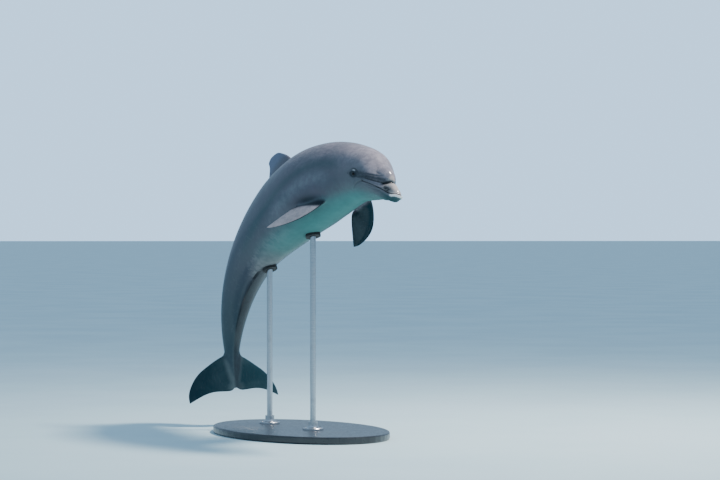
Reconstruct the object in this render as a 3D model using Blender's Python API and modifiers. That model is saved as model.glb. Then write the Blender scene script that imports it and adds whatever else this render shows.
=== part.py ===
"""Bottlenose dolphin, life size, held still in an arched leap on a plain display stand.

Metres, +Z up. The beak points toward +X and the dolphin's left side toward +Y. The origin is the
centre of the stand base's underside.

The body is described in its own coordinates, in percent of its length: station (0 at the beak tip,
100 at the notch of the flukes), then out to the left, then up toward the back. A bent spine carries
these coordinates into the world.
"""

import math

import bmesh
import bpy
import numpy as np
from mathutils import Matrix, Vector

# ---------------------------------------------------------------- sizes, in metres
LENGTH = 2.5
PERCENT = LENGTH / 100
GAP = 0.0003
GAP_PERCENT = GAP / PERCENT
BEAK_TIP = (1.04, 0.0, 1.36)

EYE_RADIUS = 0.0165
BASE_LENGTH = 1.30
BASE_WIDTH = 0.84
BASE_THICKNESS = 0.04
BASE_BEVEL = 0.008
ROD_RADIUS = 0.016
FLANGE_RADIUS = 0.058
FLANGE_PLATE = 0.010
FLANGE_HEIGHT = 0.045
FLANGE_NECK = 0.026
PAD_RADIUS = 0.042
PAD_THICKNESS = 0.014
PAD_DEPTH = 0.030

# ---------------------------------------------------------------- posture
# (station, pitch of the spine in degrees, nose up)
PITCH = ((0, -10), (12, -4.3), (28, 9.5), (45, 22), (62, 38.3), (80, 72.5), (100, 123.5))
ROLL = math.radians(-15.3)
TAIL_LEAN = math.radians(4.8)
TAIL_LEAN_FROM = 45

# ---------------------------------------------------------------- body, in percent of the length
# (station, top of the back, bottom of the belly, half width)
PROFILE = (
    (0, -1.4, -3.65, 1.0),
    (1.5, -0.92, -3.77, 1.13),
    (3.4, 0.05, -3.69, 1.38),
    (5, 0.2, -3.8, 1.9),
    (7, 1.05, -3.6, 3.1),
    (9, 3.4, -3.65, 3.95),
    (11, 5.47, -3.85, 4.4),
    (13.5, 6.55, -4.3, 4.8),
    (16, 7.1, -4.9, 5.15),
    (20, 8.0, -6.05, 5.85),
    (28, 9.35, -7.75, 7.4),
    (36, 10.0, -8.55, 8.15),
    (46, 9.8, -8.75, 7.6),
    (55, 8.7, -8.0, 6.7),
    (70, 6.05, -5.25, 4.8),
    (85, 3.8, -2.7, 2.65),
    (93, 2.1, -1.7, 1.4),
    (100, 0.45, -0.45, 0.5),
)
# (station, keel): 0.5 is an ellipse, more draws the top and bottom in to a ridge
KEEL = ((0, 0.46), (30, 0.5), (55, 0.52), (70, 0.62), (85, 0.71), (100, 0.6))
BEAK_TIP_LENGTH = 1.25
BEAK_TIP_ROUNDING = 2.3
TAIL_END = 98.9
TAIL_END_LENGTH = 4.5
# the melon: an ellipsoid on the forehead
MELON_STATION = 9.65
MELON_UP = 0
MELON_HALF_LENGTH = 5.4
MELON_HALF_WIDTH = 2.82
MELON_HALF_HEIGHT = 3.52
# (station, how softly the melon joins the skull): small at the crease before it
MELON_BLEND = (
    (0, 0.12),
    (3, 0.14),
    (4.5, 0.3),
    (6, 0.8),
    (8, 1.6),
    (10, 2.2),
    (13, 2.8),
    (20, 3),
    (100, 3),
)
# (station, height of the line that the rings are drawn about)
AXIS = ((0, -2.1), (1.3, -2.1), (4, -1.6), (8, -0.7), (12, 0.2), (20, 0.8), (60, 0.3), (100, 0))
# (station, how far the upper half of a ring leans toward the beak)
RING_LEAN = ((0, 0), (1.3, 0), (3, 0.25), (5, 0.75), (7.5, 0.8), (11, 0.45), (16, 0.1), (20, 0), (100, 0))

SHARP_ANGLE = math.radians(35)
RING_POINTS = 36
CAP_RINGS = 4
BALL_SEGMENTS = 16
BALL_RINGS = 10
HEAD_STATIONS = (1.3, 2.1, 3.0, 3.9, 4.9, 6.0, 7.2, 8.6, 10.2, 12.0, 14.2, 16.8, 20)
# (name, first station, last station, number of steps between)
BODY_LENGTHS = (
    ("neck", 20, 25, 2),
    ("trunk_front", 25, 38, 4),
    ("trunk_middle", 38, 53, 4),
    ("trunk_rear", 53, 67, 4),
    ("tail_stock_front", 67, 81, 5),
    ("tail_stock_rear", 81, 98.8, 8),
)

# ---------------------------------------------------------------- mouth and eyes
# (station, height) along the mouth line and then down behind the corner of the mouth
MOUTH_LINE = ((-3, -2.0), (0, -2.0), (1.1, -2.28), (2.5, -2.22), (4.8, -1.8), (6.8, -1.45), (9.8, -1.15))
JAW_BACK = ((10.8, -2.2), (11.5, -4.2), (11.7, -7))
JAW_FLOOR = -7
JAW_HALF_WIDTH = 8
EYE_CENTRE = (12.45, 4.02, 0.0)

# ---------------------------------------------------------------- fins, in percent of the length
# (station, height above the back)
DORSAL_LEAD = (
    (42.2, -1.4),
    (44.8, 1.0),
    (47.4, 4.0),
    (49.2, 6.1),
    (51.4, 8.4),
    (53.2, 10.1),
    (55.0, 11.0),
    (56.2, 11.15),
    (56.75, 10.5),
)
DORSAL_TRAIL = ((60.2, -1.4), (58.4, 2.0), (57.2, 4.6), (56.6, 7.0), (56.4, 9.0), (56.75, 10.5))
# (out from the midline, station)
FLUKE_LEAD = (
    (0, 90.5),
    (2.2, 91.9),
    (3.8, 92.8),
    (6, 94.1),
    (8.3, 95.5),
    (10.1, 97.2),
    (11.3, 99.2),
    (11.4, 100.8),
)
FLUKE_TRAIL = ((0, 99.4), (0.9, 100.3), (2.3, 100.4), (4.1, 100.1), (6, 99.95), (9.7, 100.5), (11.4, 100.8))
FLUKE_CURL = 17
# (out along the flipper, back across it), from the front of its root
FLIPPER_LEAD = (
    (-3, 2),
    (0, 0),
    (2.5, -0.75),
    (6, -1.0),
    (9.5, -0.35),
    (12.5, 0.75),
    (14.8, 1.9),
    (16.2, 2.9),
)
FLIPPER_TRAIL = ((-2.4, 6), (2, 4.6), (4.6, 4.1), (6.5, 4.6), (9, 4.6), (11.5, 4.1), (14, 3.5), (16.2, 2.9))
FLIPPER_TIP = math.atan2(2.9, 16.2)
# side, root in body coordinates, swing out, droop and twist in degrees, scale along and across
FLIPPER_RIGHT = (-1, (22.6, 4.2, -6.1), 17.5, 20, -28.5, 0.99, 1.0)
FLIPPER_LEFT = (1, (19.2, 5.96, -4.08), 23.9, 25.8, -49.1, 1.03, 1.12)
DORSAL_THICKNESS = (0.14, 0.10)
FLUKE_THICKNESS = (0.17, 0.12)
FLIPPER_THICKNESS = (0.16, 0.11)
FIN_EDGE = 0.045
FIN_CHORD_POINTS = 9

# ---------------------------------------------------------------- stand
# (name, x, y) of each rod
RODS = (("front", 0.14, 0.0), ("rear", -0.34, 0.0))

# ---------------------------------------------------------------- colours
BACK_GREY = (0.10, 0.12, 0.16, 1)
FLANK_GREY = (0.16, 0.19, 0.23, 1)
JAW_GREY = (0.42, 0.42, 0.44, 1)
FIN_GREY = (0.08, 0.10, 0.13, 1)
EYE_BROWN = (0.03, 0.018, 0.012, 1)
STAND_BLACK = (0.02, 0.021, 0.023, 1)
STEEL = (0.55, 0.56, 0.58, 1)
RUBBER = (0.015, 0.015, 0.016, 1)


def smooth_line(rows):
    """A curve through (x, y) rows that never overshoots them, as a function of x."""
    x, y = np.array(rows, float).T
    step = np.diff(x)
    rise = np.diff(y) / step
    slope = np.zeros_like(x)
    slope[0] = rise[0]
    slope[-1] = rise[-1]
    for i in range(1, len(x) - 1):
        if rise[i - 1] * rise[i] > 0:
            before = 2 * step[i] + step[i - 1]
            after = step[i] + 2 * step[i - 1]
            slope[i] = (before + after) / (before / rise[i - 1] + after / rise[i])

    def at(q):
        q = np.clip(np.asarray(q, float), x[0], x[-1])
        i = np.clip(np.searchsorted(x, q, side="right") - 1, 0, len(x) - 2)
        t = (q - x[i]) / step[i]
        start = y[i] * (2 * t**3 - 3 * t**2 + 1) + step[i] * slope[i] * (t**3 - 2 * t**2 + t)
        end = y[i + 1] * (3 * t**2 - 2 * t**3) + step[i] * slope[i + 1] * (t**3 - t**2)
        return start + end

    return at


def spline(x, y):
    """A natural cubic spline through the rows of y at x, as a function of x."""
    x = np.asarray(x, float)
    y = np.asarray(y, float).reshape(len(x), -1)
    step = np.diff(x)
    matrix = np.eye(len(x))
    side = np.zeros_like(y)
    rise = np.diff(y, axis=0) / step[:, None]
    for i in range(1, len(x) - 1):
        matrix[i, i - 1 : i + 2] = (step[i - 1], 2 * (step[i - 1] + step[i]), step[i])
        side[i] = 6 * (rise[i] - rise[i - 1])
    bend = np.linalg.solve(matrix, side)

    def at(q):
        q = np.atleast_1d(np.asarray(q, float))
        i = np.clip(np.searchsorted(x, q, side="right") - 1, 0, len(x) - 2)
        h = step[i][:, None]
        a = (x[i + 1] - q)[:, None]
        b = (q - x[i])[:, None]
        cubic = (bend[i] * a**3 + bend[i + 1] * b**3) / (6 * h)
        return cubic + (y[i] / h - bend[i] * h / 6) * a + (y[i + 1] / h - bend[i + 1] * h / 6) * b

    return at


def outline(points):
    """A smooth curve through 2-D points, as a function of 0 to 1 along it."""
    points = np.array(points, float)
    along = np.r_[0, np.cumsum(np.linalg.norm(np.diff(points, axis=0), axis=1))]
    return spline(along / along[-1], points)


# ---------------------------------------------------------------- the spine
SPINE_STEPS = 400
SPINE_STATIONS = np.linspace(0, 100, SPINE_STEPS + 1)


def spine_frames():
    """Position, forward, left and up of the spine at each of SPINE_STATIONS."""
    knots, degrees = np.array(PITCH, float).T
    pitch = np.radians(spline(knots, degrees)(SPINE_STATIONS)[:, 0])
    part = np.clip((SPINE_STATIONS - TAIL_LEAN_FROM) / (100 - TAIL_LEAN_FROM), 0, 1)
    lean = TAIL_LEAN * part**2 * (3 - 2 * part)
    forward = np.stack([np.cos(pitch) * np.cos(lean), np.sin(lean), np.sin(pitch) * np.cos(lean)], 1)
    level = np.stack([-np.cos(pitch) * np.sin(lean), np.cos(lean), -np.sin(pitch) * np.sin(lean)], 1)
    left = level * math.cos(ROLL) + np.cross(forward, level) * math.sin(ROLL)
    up = np.cross(forward, left)
    position = np.zeros_like(forward)
    step = LENGTH / SPINE_STEPS
    position[1:] = -np.cumsum((forward[1:] + forward[:-1]) / 2 * step, axis=0)
    return position + BEAK_TIP, forward, left, up


POSITION, FORWARD, LEFT, UP = spine_frames()


def frame_at(station):
    station = np.clip(station, 0, 100)
    table = np.concatenate([POSITION, FORWARD, LEFT, UP], axis=1)
    found = [np.interp(station, SPINE_STATIONS, column) for column in table.T]
    return [np.stack(found[i : i + 3], -1) for i in (0, 3, 6, 9)]


def to_world(points, fixed_station=None):
    """Body coordinates into world ones. With fixed_station the spine isn't followed past it."""
    points = np.asarray(points, float)
    station = points[..., 0]
    held = np.clip(station, 0, 100) if fixed_station is None else np.full_like(station, fixed_station)
    position, forward, left, up = frame_at(held)
    position = position - forward * ((station - held) * PERCENT)[..., None]
    return position + left * (points[..., 1:2] * PERCENT) + up * (points[..., 2:3] * PERCENT)


# ---------------------------------------------------------------- the body's surface
BACK_AT = smooth_line([(row[0], row[1]) for row in PROFILE])
BELLY_AT = smooth_line([(row[0], row[2]) for row in PROFILE])
WIDTH_AT = smooth_line([(row[0], row[3]) for row in PROFILE])
KEEL_AT = smooth_line(KEEL)
BLEND_AT = smooth_line(MELON_BLEND)
AXIS_AT = smooth_line(AXIS)
LEAN_AT = smooth_line(RING_LEAN)


def outside(points):
    """How far points lie outside the skin, roughly, in percent of the length; inside is negative."""
    station, out, up = points[..., 0], points[..., 1], points[..., 2]
    s = np.clip(station, 0, 100)
    near_tip = np.clip(s / BEAK_TIP_LENGTH, 1e-4, 1)
    size = (1 - (1 - near_tip) ** BEAK_TIP_ROUNDING) ** (1 / BEAK_TIP_ROUNDING)
    near_end = np.clip((TAIL_END - s) / TAIL_END_LENGTH, 1e-4, 1)
    size = size * np.sqrt(1 - (1 - near_end) ** 2)
    middle = (BACK_AT(s) + BELLY_AT(s)) / 2
    half_height = (BACK_AT(s) - BELLY_AT(s)) / 2 * size
    half_width = WIDTH_AT(s) * size
    level = np.abs(out / half_width) ** (1 / KEEL_AT(s)) + ((up - middle) / half_height) ** 2
    trunk = (np.sqrt(level) - 1) * np.minimum(half_width, half_height)
    along = (s - MELON_STATION) / MELON_HALF_LENGTH
    height = (up - MELON_UP) / MELON_HALF_HEIGHT
    melon = (np.sqrt(along**2 + (out / MELON_HALF_WIDTH) ** 2 + height**2) - 1) * MELON_HALF_WIDTH
    trunk = trunk + np.abs(station - s)
    soft = BLEND_AT(s)
    mix = np.clip(0.5 + 0.5 * (melon - trunk) / soft, 0, 1)
    return trunk * mix + melon * (1 - mix) - soft * mix * (1 - mix)


def surface_along(start, direction):
    """Where rays that start inside the body leave it."""
    low = np.zeros(start.shape[:-1])
    high = np.full(start.shape[:-1], 16.0)
    found = np.zeros(start.shape[:-1], bool)
    steps = np.linspace(0, 16, 90)
    for before, after in zip(steps, steps[1:]):
        leaves = (outside(start + direction * after) > 0) & ~found
        low = np.where(leaves, before, low)
        high = np.where(leaves, after, high)
        found |= leaves
    for _ in range(22):
        half = (low + high) / 2
        beyond = outside(start + direction * half[..., None]) > 0
        high = np.where(beyond, half, high)
        low = np.where(beyond, low, half)
    return start + direction * low[..., None]


def body_rings(stations):
    """One ring of skin points about the axis at each station, in body coordinates."""
    stations = np.array(stations, float)
    turn = np.linspace(0, 2 * math.pi, RING_POINTS, endpoint=False)
    start = np.zeros((len(stations), RING_POINTS, 3))
    start[..., 0] = stations[:, None]
    start[..., 2] = AXIS_AT(stations)[:, None]
    lean = -LEAN_AT(stations)[:, None] * ((1 + np.cos(turn)) / 2) ** 1.5
    direction = np.stack([lean, np.sin(turn) + 0 * lean, np.cos(turn) + 0 * lean], -1)
    direction /= np.linalg.norm(direction, axis=-1, keepdims=True)
    return surface_along(start, direction)


def beak_tip_rings():
    """The pole at the beak's tip and the rings of its rounded end, in body coordinates."""
    first = HEAD_STATIONS[0]
    open_angle = np.linspace(0, math.pi / 2, CAP_RINGS + 2)[:-1]
    turn = np.linspace(0, 2 * math.pi, RING_POINTS, endpoint=False)
    start = np.zeros((len(open_angle), RING_POINTS, 3)) + (first, 0, AXIS_AT(first))
    away = np.sin(open_angle)[:, None]
    ahead = -np.cos(open_angle)[:, None] + 0 * turn
    direction = np.stack([ahead, away * np.sin(turn), away * np.cos(turn)], -1)
    rings = surface_along(start, direction)
    return rings[0, 0], rings[1:]


def all_stations():
    found = list(HEAD_STATIONS)
    for _, first, last, steps in BODY_LENGTHS:
        found += list(np.linspace(first, last, steps + 1))[1:]
    return found


# ---------------------------------------------------------------- Blender helpers
def clear_scene():
    for item in list(bpy.data.objects):
        bpy.data.objects.remove(item, do_unlink=True)


def new_collection(name, hidden=False):
    collection = bpy.data.collections.new(name)
    collection.hide_render = hidden
    bpy.context.scene.collection.children.link(collection)
    return collection


def new_material(name, colour, roughness, metallic=0.0):
    material = bpy.data.materials.new(name)
    material.use_nodes = True
    shader = material.node_tree.nodes["Principled BSDF"]
    shader.inputs["Base Color"].default_value = colour
    shader.inputs["Roughness"].default_value = roughness
    shader.inputs["Metallic"].default_value = metallic
    return material


class Model:
    """The collections and materials, and the ways to add an object to them."""

    def __init__(self):
        self.parts = new_collection("dolphin_on_stand")
        self.cutters = new_collection("cutters", hidden=True)

    def add(self, name, mesh, material):
        """A piece of the object, shaded smooth except across its sharp edges."""
        item = bpy.data.objects.new(name, mesh)
        mesh.materials.append(material)
        if mesh.polygons:
            mesh.shade_smooth()
            mesh.set_sharp_from_angle(angle=SHARP_ANGLE)
        self.parts.objects.link(item)
        return item

    def add_cutter(self, name, mesh):
        item = bpy.data.objects.new(name, mesh)
        item.hide_render = True
        item.display_type = "WIRE"
        self.cutters.objects.link(item)
        return item


def mesh_of(name, bm):
    bmesh.ops.recalc_face_normals(bm, faces=bm.faces)
    mesh = bpy.data.meshes.new(name)
    bm.to_mesh(mesh)
    bm.free()
    return mesh


def loft(name, rings, first_pole=None, last_pole=None):
    """A closed mesh through rings of world points, ended with a pole where there is one, else flat.

    It is made of triangles, so that two lofts through the same rings have the same faces.
    """
    bm = bmesh.new()
    rows = [[bm.verts.new(point) for point in ring] for ring in rings]
    count = len(rows[0])
    for one, two in zip(rows, rows[1:]):
        for i in range(count):
            j = (i + 1) % count
            bm.faces.new((one[i], one[j], two[j]))
            bm.faces.new((one[i], two[j], two[i]))
    for row, pole in ((rows[0], first_pole), (rows[-1], last_pole)):
        if pole is None:
            bm.faces.new(row)
            continue
        top = bm.verts.new(pole)
        for i in range(count):
            bm.faces.new((row[i], row[(i + 1) % count], top))
    return mesh_of(name, bm)


def grown(mesh, distance):
    """Moves every point of a closed mesh out along its normal."""
    normals = [vertex.normal.copy() for vertex in mesh.vertices]
    for vertex, normal in zip(mesh.vertices, normals):
        vertex.co += normal * distance
    return mesh


def boolean(item, cutter, operation="DIFFERENCE"):
    modifier = item.modifiers.new(operation.lower() + " " + cutter.name, "BOOLEAN")
    modifier.operation = operation
    modifier.solver = "EXACT"
    modifier.object = cutter


def cylinder(name, radius, length, segments):
    """A cylinder along +Z from its own origin."""
    bm = bmesh.new()
    lift = Matrix.Translation((0, 0, length / 2))
    bmesh.ops.create_cone(
        bm,
        cap_ends=True,
        segments=segments,
        radius1=radius,
        radius2=radius,
        depth=length,
        matrix=lift,
    )
    return mesh_of(name, bm)


# ---------------------------------------------------------------- the head
def head_mesh(name):
    pole, cap = beak_tip_rings()
    stations = list(HEAD_STATIONS)
    stations[-1] -= GAP_PERCENT / 2
    rings = np.concatenate([cap, body_rings(stations)])
    return loft(name, to_world(rings), first_pole=to_world(pole))


def jaw_region(name, grow):
    """The space of the lower jaw: all that lies below the mouth line and ahead of the jaw's back."""
    top = [(station, height + grow) for station, height in MOUTH_LINE]
    back = [(station + grow, height) for station, height in JAW_BACK]
    path = top + back + [(MOUTH_LINE[0][0], JAW_FLOOR)]
    rings = [[(s, side * JAW_HALF_WIDTH, z) for s, z in path] for side in (-1, 1)]
    bm = bmesh.new()
    right, left = [[bm.verts.new(point) for point in to_world(ring)] for ring in rings]
    for i in range(len(path)):
        j = (i + 1) % len(path)
        bm.faces.new((right[i], right[j], left[j], left[i]))
    bm.faces.new(right)
    bm.faces.new(left)
    bmesh.ops.triangulate(bm, faces=bm.faces)
    return mesh_of(name, bm)


def ball(name, radius, centre):
    """A sphere whose poles look out to the sides."""
    bm = bmesh.new()
    turn = Matrix.Translation(centre) @ Matrix.Rotation(math.pi / 2, 4, "X")
    bmesh.ops.create_uvsphere(
        bm, u_segments=BALL_SEGMENTS, v_segments=BALL_RINGS, radius=radius, matrix=turn
    )
    return mesh_of(name, bm)


def build_head(model):
    skin = new_material("head skin", BACK_GREY, 0.25)
    jaw_skin = new_material("jaw skin", JAW_GREY, 0.25)
    eye_surface = new_material("eye", EYE_BROWN, 0.05)
    head = model.add("head", head_mesh("head"), skin)
    jaw = model.add("lower_jaw", head_mesh("lower_jaw"), jaw_skin)
    boolean(head, model.add_cutter("jaw space", jaw_region("jaw space", GAP_PERCENT)))
    boolean(jaw, model.add_cutter("jaw bounds", jaw_region("jaw bounds", 0)), "INTERSECT")
    station, out, up = EYE_CENTRE
    for side, word in ((1, "left"), (-1, "right")):
        centre = Vector(to_world((station, side * out, up)))
        model.add("eye_" + word, ball("eye", EYE_RADIUS, centre), eye_surface)
        socket = ball("socket", EYE_RADIUS + GAP, centre)
        boolean(head, model.add_cutter("socket " + word, socket))


def build_body(model):
    trunk_skin = new_material("trunk skin", FLANK_GREY, 0.25)
    tail_skin = new_material("tail skin", BACK_GREY, 0.25)
    for name, first, last, steps in BODY_LENGTHS:
        stations = np.linspace(first, last, steps + 1)
        stations[0] += GAP_PERCENT / 2
        stations[-1] -= GAP_PERCENT / 2
        skin = tail_skin if name.startswith("tail") else trunk_skin
        model.add(name, loft(name, to_world(body_rings(stations))), skin)


def build_body_cutter(model):
    """The whole body, grown by the gap, to cut the fins and the pads to the skin."""
    pole, cap = beak_tip_rings()
    rings = np.concatenate([cap, body_rings(all_stations())])
    mesh = loft("body with gap", to_world(rings), first_pole=to_world(pole))
    return model.add_cutter("body with gap", grown(mesh, GAP))


# ---------------------------------------------------------------- the fins
def wing_section(points):
    """Distance back along the chord and half thickness there, for a section one long and one thick."""
    x = (1 - np.cos(np.linspace(0, math.pi, points))) / 2
    shape = 0.2969 * np.sqrt(x) - 0.1260 * x - 0.3516 * x**2 + 0.2843 * x**3 - 0.1015 * x**4
    return x, 5 * shape


def fin_rings(lead, trail, thickness, spans):
    """Rings (along, across, thick) from root to tip of a fin, and the point at its tip."""
    x, half = wing_section(FIN_CHORD_POINTS)
    edge = FIN_EDGE * np.clip(6 * x, 0, 1)
    lead, trail = outline(lead), outline(trail)
    rings = []
    for u in np.linspace(0, 1, spans + 1)[:-1] ** 0.85:
        front, rear = lead(u)[0], trail(u)[0]
        chord = np.linalg.norm(rear - front)
        deep = half * chord * (thickness[0] + (thickness[1] - thickness[0]) * u) + edge
        line = front + (rear - front) * x[:, None]
        upper = np.c_[line, deep]
        lower = np.c_[line[::-1], -deep[::-1]][:-1]
        rings.append(np.r_[upper, lower])
    return np.array(rings), np.r_[lead(1.0)[0], 0]


def fin(model, name, place, lead, trail, thickness, spans, skin, body):
    rings, tip = fin_rings(lead, trail, thickness, spans)
    item = model.add(name, loft(name, place(rings), last_pole=place(tip)), skin)
    boolean(item, body)


def place_dorsal(points):
    station, height, thick = points[..., 0], points[..., 1], points[..., 2]
    return to_world(np.stack([station, thick, BACK_AT(station) + height], -1))


def fluke_placer(side):
    """Lays a fluke lobe out to one side, kept half the gap off the midline, and curls it upward."""

    def place(points):
        out, station, thick = points[..., 0], points[..., 1], points[..., 2]
        turn = out / FLUKE_CURL
        across = (FLUKE_CURL - thick) * np.sin(turn) + GAP_PERCENT / 2
        up = FLUKE_CURL - (FLUKE_CURL - thick) * np.cos(turn)
        return to_world(np.stack([station, side * across, up], -1))

    return place


def flipper_placer(side, root, swing, droop, twist, along_scale, across_scale):
    """Lays a flipper out from its root: swung out, drooped, then twisted about its own length."""
    swing, droop, twist = (math.radians(angle) for angle in (swing, droop, twist))
    reach = Vector(
        (
            -math.cos(swing) * math.cos(droop),
            side * math.sin(swing) * math.cos(droop),
            -math.sin(droop),
        )
    )
    upright = (Vector((0, 0, 1)) - reach * reach.z).normalized()
    aside = reach.cross(upright) * side
    rearward = upright * math.cos(twist) + aside * math.sin(twist)
    along = reach * math.cos(FLIPPER_TIP) - rearward * math.sin(FLIPPER_TIP)
    across = rearward * math.cos(FLIPPER_TIP) + reach * math.sin(FLIPPER_TIP)
    thick = along.cross(across)

    def place(points):
        offset = points[..., 0:1] * along_scale * np.array(along)
        offset = offset + points[..., 1:2] * across_scale * np.array(across)
        offset = offset + points[..., 2:3] * np.array(thick)
        body = np.stack([-offset[..., 0], offset[..., 1], offset[..., 2]], -1)
        body = body + np.array((root[0], side * root[1], root[2]))
        return to_world(body, fixed_station=root[0])

    return place


def build_fins(model, body):
    skin = new_material("fin skin", FIN_GREY, 0.25)
    fin(model, "dorsal_fin", place_dorsal, DORSAL_LEAD, DORSAL_TRAIL, DORSAL_THICKNESS, 12, skin, body)
    for side, word in ((1, "left"), (-1, "right")):
        place = fluke_placer(side)
        fin(model, "fluke_" + word, place, FLUKE_LEAD, FLUKE_TRAIL, FLUKE_THICKNESS, 13, skin, body)
    for word, pose in (("left", FLIPPER_LEFT), ("right", FLIPPER_RIGHT)):
        place = flipper_placer(*pose)
        name = "flipper_" + word
        fin(model, name, place, FLIPPER_LEAD, FLIPPER_TRAIL, FLIPPER_THICKNESS, 12, skin, body)


# ---------------------------------------------------------------- the stand
def build_base(model):
    mesh = cylinder("stand_base", 0.5, BASE_THICKNESS, 56)
    mesh.transform(Matrix.Diagonal((BASE_LENGTH, BASE_WIDTH, 1, 1)))
    item = model.add("stand_base", mesh, new_material("stand lacquer", STAND_BLACK, 0.35))
    bevel = item.modifiers.new("rounded edge", "BEVEL")
    bevel.width = BASE_BEVEL
    bevel.segments = 2
    bevel.limit_method = "ANGLE"


def flange_profile():
    """Half of the flange's outline as (radius, height), from the top of its neck down to its foot."""
    cove = FLANGE_NECK * 0.5
    return (
        (0, FLANGE_HEIGHT),
        (FLANGE_NECK, FLANGE_HEIGHT),
        (FLANGE_NECK, FLANGE_PLATE + cove),
        (FLANGE_NECK + cove * 0.3, FLANGE_PLATE + cove * 0.3),
        (FLANGE_NECK + cove, FLANGE_PLATE),
        (FLANGE_RADIUS - FLANGE_PLATE * 0.3, FLANGE_PLATE),
        (FLANGE_RADIUS, FLANGE_PLATE * 0.7),
        (FLANGE_RADIUS, 0),
        (0, 0),
    )


def turned(model, name, profile, segments, place, material):
    """A turned solid: a half profile carried round the Z axis with a Screw modifier."""
    mesh = bpy.data.meshes.new(name)
    points = [(radius, 0, height) for radius, height in profile]
    mesh.from_pydata(points, [(i, i + 1) for i in range(len(points) - 1)], [])
    item = model.add(name, mesh, material)
    screw = item.modifiers.new("turned", "SCREW")
    screw.steps = segments
    screw.render_steps = segments
    screw.use_merge_vertices = True
    screw.merge_threshold = 0.0001
    item.location = place
    return item


def belly_above(x, y):
    """The lowest skin point on the vertical line at (x, y), and the skin's normal there."""
    stations = np.linspace(25, 75, 201)
    bottom = to_world(body_rings(stations))
    near = np.hypot(bottom[..., 0] - x, bottom[..., 1] - y)
    low = np.where(near < 0.03, bottom[..., 2], 9)
    i, j = np.unravel_index(np.argmin(low + near), low.shape)
    ahead = Vector(bottom[i - 1, j] - bottom[i + 1, j])
    across = Vector(bottom[i, (j + 1) % RING_POINTS] - bottom[i, j - 1])
    normal = ahead.cross(across).normalized()
    if normal.z > 0:
        normal = -normal
    point = Vector(bottom[i, j])
    height = point.z - (normal.x * (x - point.x) + normal.y * (y - point.y)) / normal.z
    return Vector((x, y, height)), normal


def build_rod(model, word, x, y, body, steel, rubber):
    touch, normal = belly_above(x, y)
    turn = normal.to_track_quat("Z", "Y").to_matrix().to_4x4()
    pad = cylinder("pad", PAD_RADIUS, PAD_DEPTH + PAD_THICKNESS, 28)
    pad.transform(Matrix.Translation(touch) @ turn @ Matrix.Translation((0, 0, -PAD_DEPTH)))
    pad_item = model.add("stand_pad_" + word, pad, rubber)
    boolean(pad_item, body)

    flange_top = BASE_THICKNESS + GAP + FLANGE_HEIGHT
    rod = cylinder("rod", ROD_RADIUS, touch.z - flange_top - GAP, 24)
    rod.transform(Matrix.Translation((x, y, flange_top + GAP)))
    rod_item = model.add("stand_rod_" + word, rod, steel)
    above = cylinder("above rod", PAD_RADIUS * 2, PAD_RADIUS * 4, 12)
    shift = PAD_THICKNESS + GAP - PAD_RADIUS * 4
    above.transform(Matrix.Translation(touch) @ turn @ Matrix.Translation((0, 0, shift)))
    boolean(rod_item, model.add_cutter("above rod " + word, above))

    place = (x, y, BASE_THICKNESS + GAP)
    turned(model, "stand_flange_" + word, flange_profile(), 28, place, steel)


def build_stand(model, body):
    steel = new_material("stand steel", STEEL, 0.3, 1.0)
    rubber = new_material("stand rubber", RUBBER, 0.7)
    build_base(model)
    for word, x, y in RODS:
        build_rod(model, word, x, y, body, steel, rubber)


def main():
    clear_scene()
    model = Model()
    build_head(model)
    build_body(model)
    body = build_body_cutter(model)
    build_fins(model, body)
    build_stand(model, body)


main()
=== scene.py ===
"""Looks of a life-size bottlenose dolphin in an arched leap, held on a plain display stand.

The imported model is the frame. One continuous skin replaces every node of flesh, two detailed eyes
replace the eye nodes, and the stand's own nodes keep their shape and get finished materials.

The body is described in its own coordinates, in percent of its length: station (0 at the beak tip,
100 at the notch of the flukes), then out to the left, then up toward the back. A bent spine carries
these coordinates into the world, in metres. Details of the skin are in millimetres.
"""

from __future__ import annotations

import logging
import math
from dataclasses import dataclass, field
from enum import Enum
from typing import Callable, Sequence

import bpy
import numpy as np
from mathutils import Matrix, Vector

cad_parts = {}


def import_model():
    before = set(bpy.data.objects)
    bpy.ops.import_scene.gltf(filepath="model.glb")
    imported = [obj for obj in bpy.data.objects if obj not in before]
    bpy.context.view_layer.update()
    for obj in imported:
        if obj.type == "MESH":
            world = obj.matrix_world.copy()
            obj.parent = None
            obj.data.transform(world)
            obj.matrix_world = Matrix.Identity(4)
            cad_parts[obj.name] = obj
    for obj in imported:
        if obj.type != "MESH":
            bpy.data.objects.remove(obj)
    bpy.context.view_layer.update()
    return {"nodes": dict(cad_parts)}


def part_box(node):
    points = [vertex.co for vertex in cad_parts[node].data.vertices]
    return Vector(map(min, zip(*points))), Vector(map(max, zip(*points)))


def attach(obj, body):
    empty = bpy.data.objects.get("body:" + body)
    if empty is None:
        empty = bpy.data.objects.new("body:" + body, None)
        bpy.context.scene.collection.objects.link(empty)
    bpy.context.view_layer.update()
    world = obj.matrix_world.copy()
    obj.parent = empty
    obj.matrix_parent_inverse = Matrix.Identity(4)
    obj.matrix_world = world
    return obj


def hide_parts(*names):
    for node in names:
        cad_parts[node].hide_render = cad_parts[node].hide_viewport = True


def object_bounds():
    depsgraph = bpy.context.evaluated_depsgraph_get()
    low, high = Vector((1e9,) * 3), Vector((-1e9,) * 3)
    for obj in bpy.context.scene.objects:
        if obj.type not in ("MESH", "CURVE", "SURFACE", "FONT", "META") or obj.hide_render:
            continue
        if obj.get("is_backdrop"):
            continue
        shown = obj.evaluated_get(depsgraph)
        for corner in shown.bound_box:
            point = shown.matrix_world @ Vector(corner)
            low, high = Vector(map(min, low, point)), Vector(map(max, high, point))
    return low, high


LOG = logging.getLogger("dolphin")
Array = np.ndarray
Line = Callable[[Array], Array]
Rows = Sequence[Sequence[float]]
Triple = tuple[float, float, float]
Colour = tuple[float, float, float, float]
Mesh = bpy.types.Mesh
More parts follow.
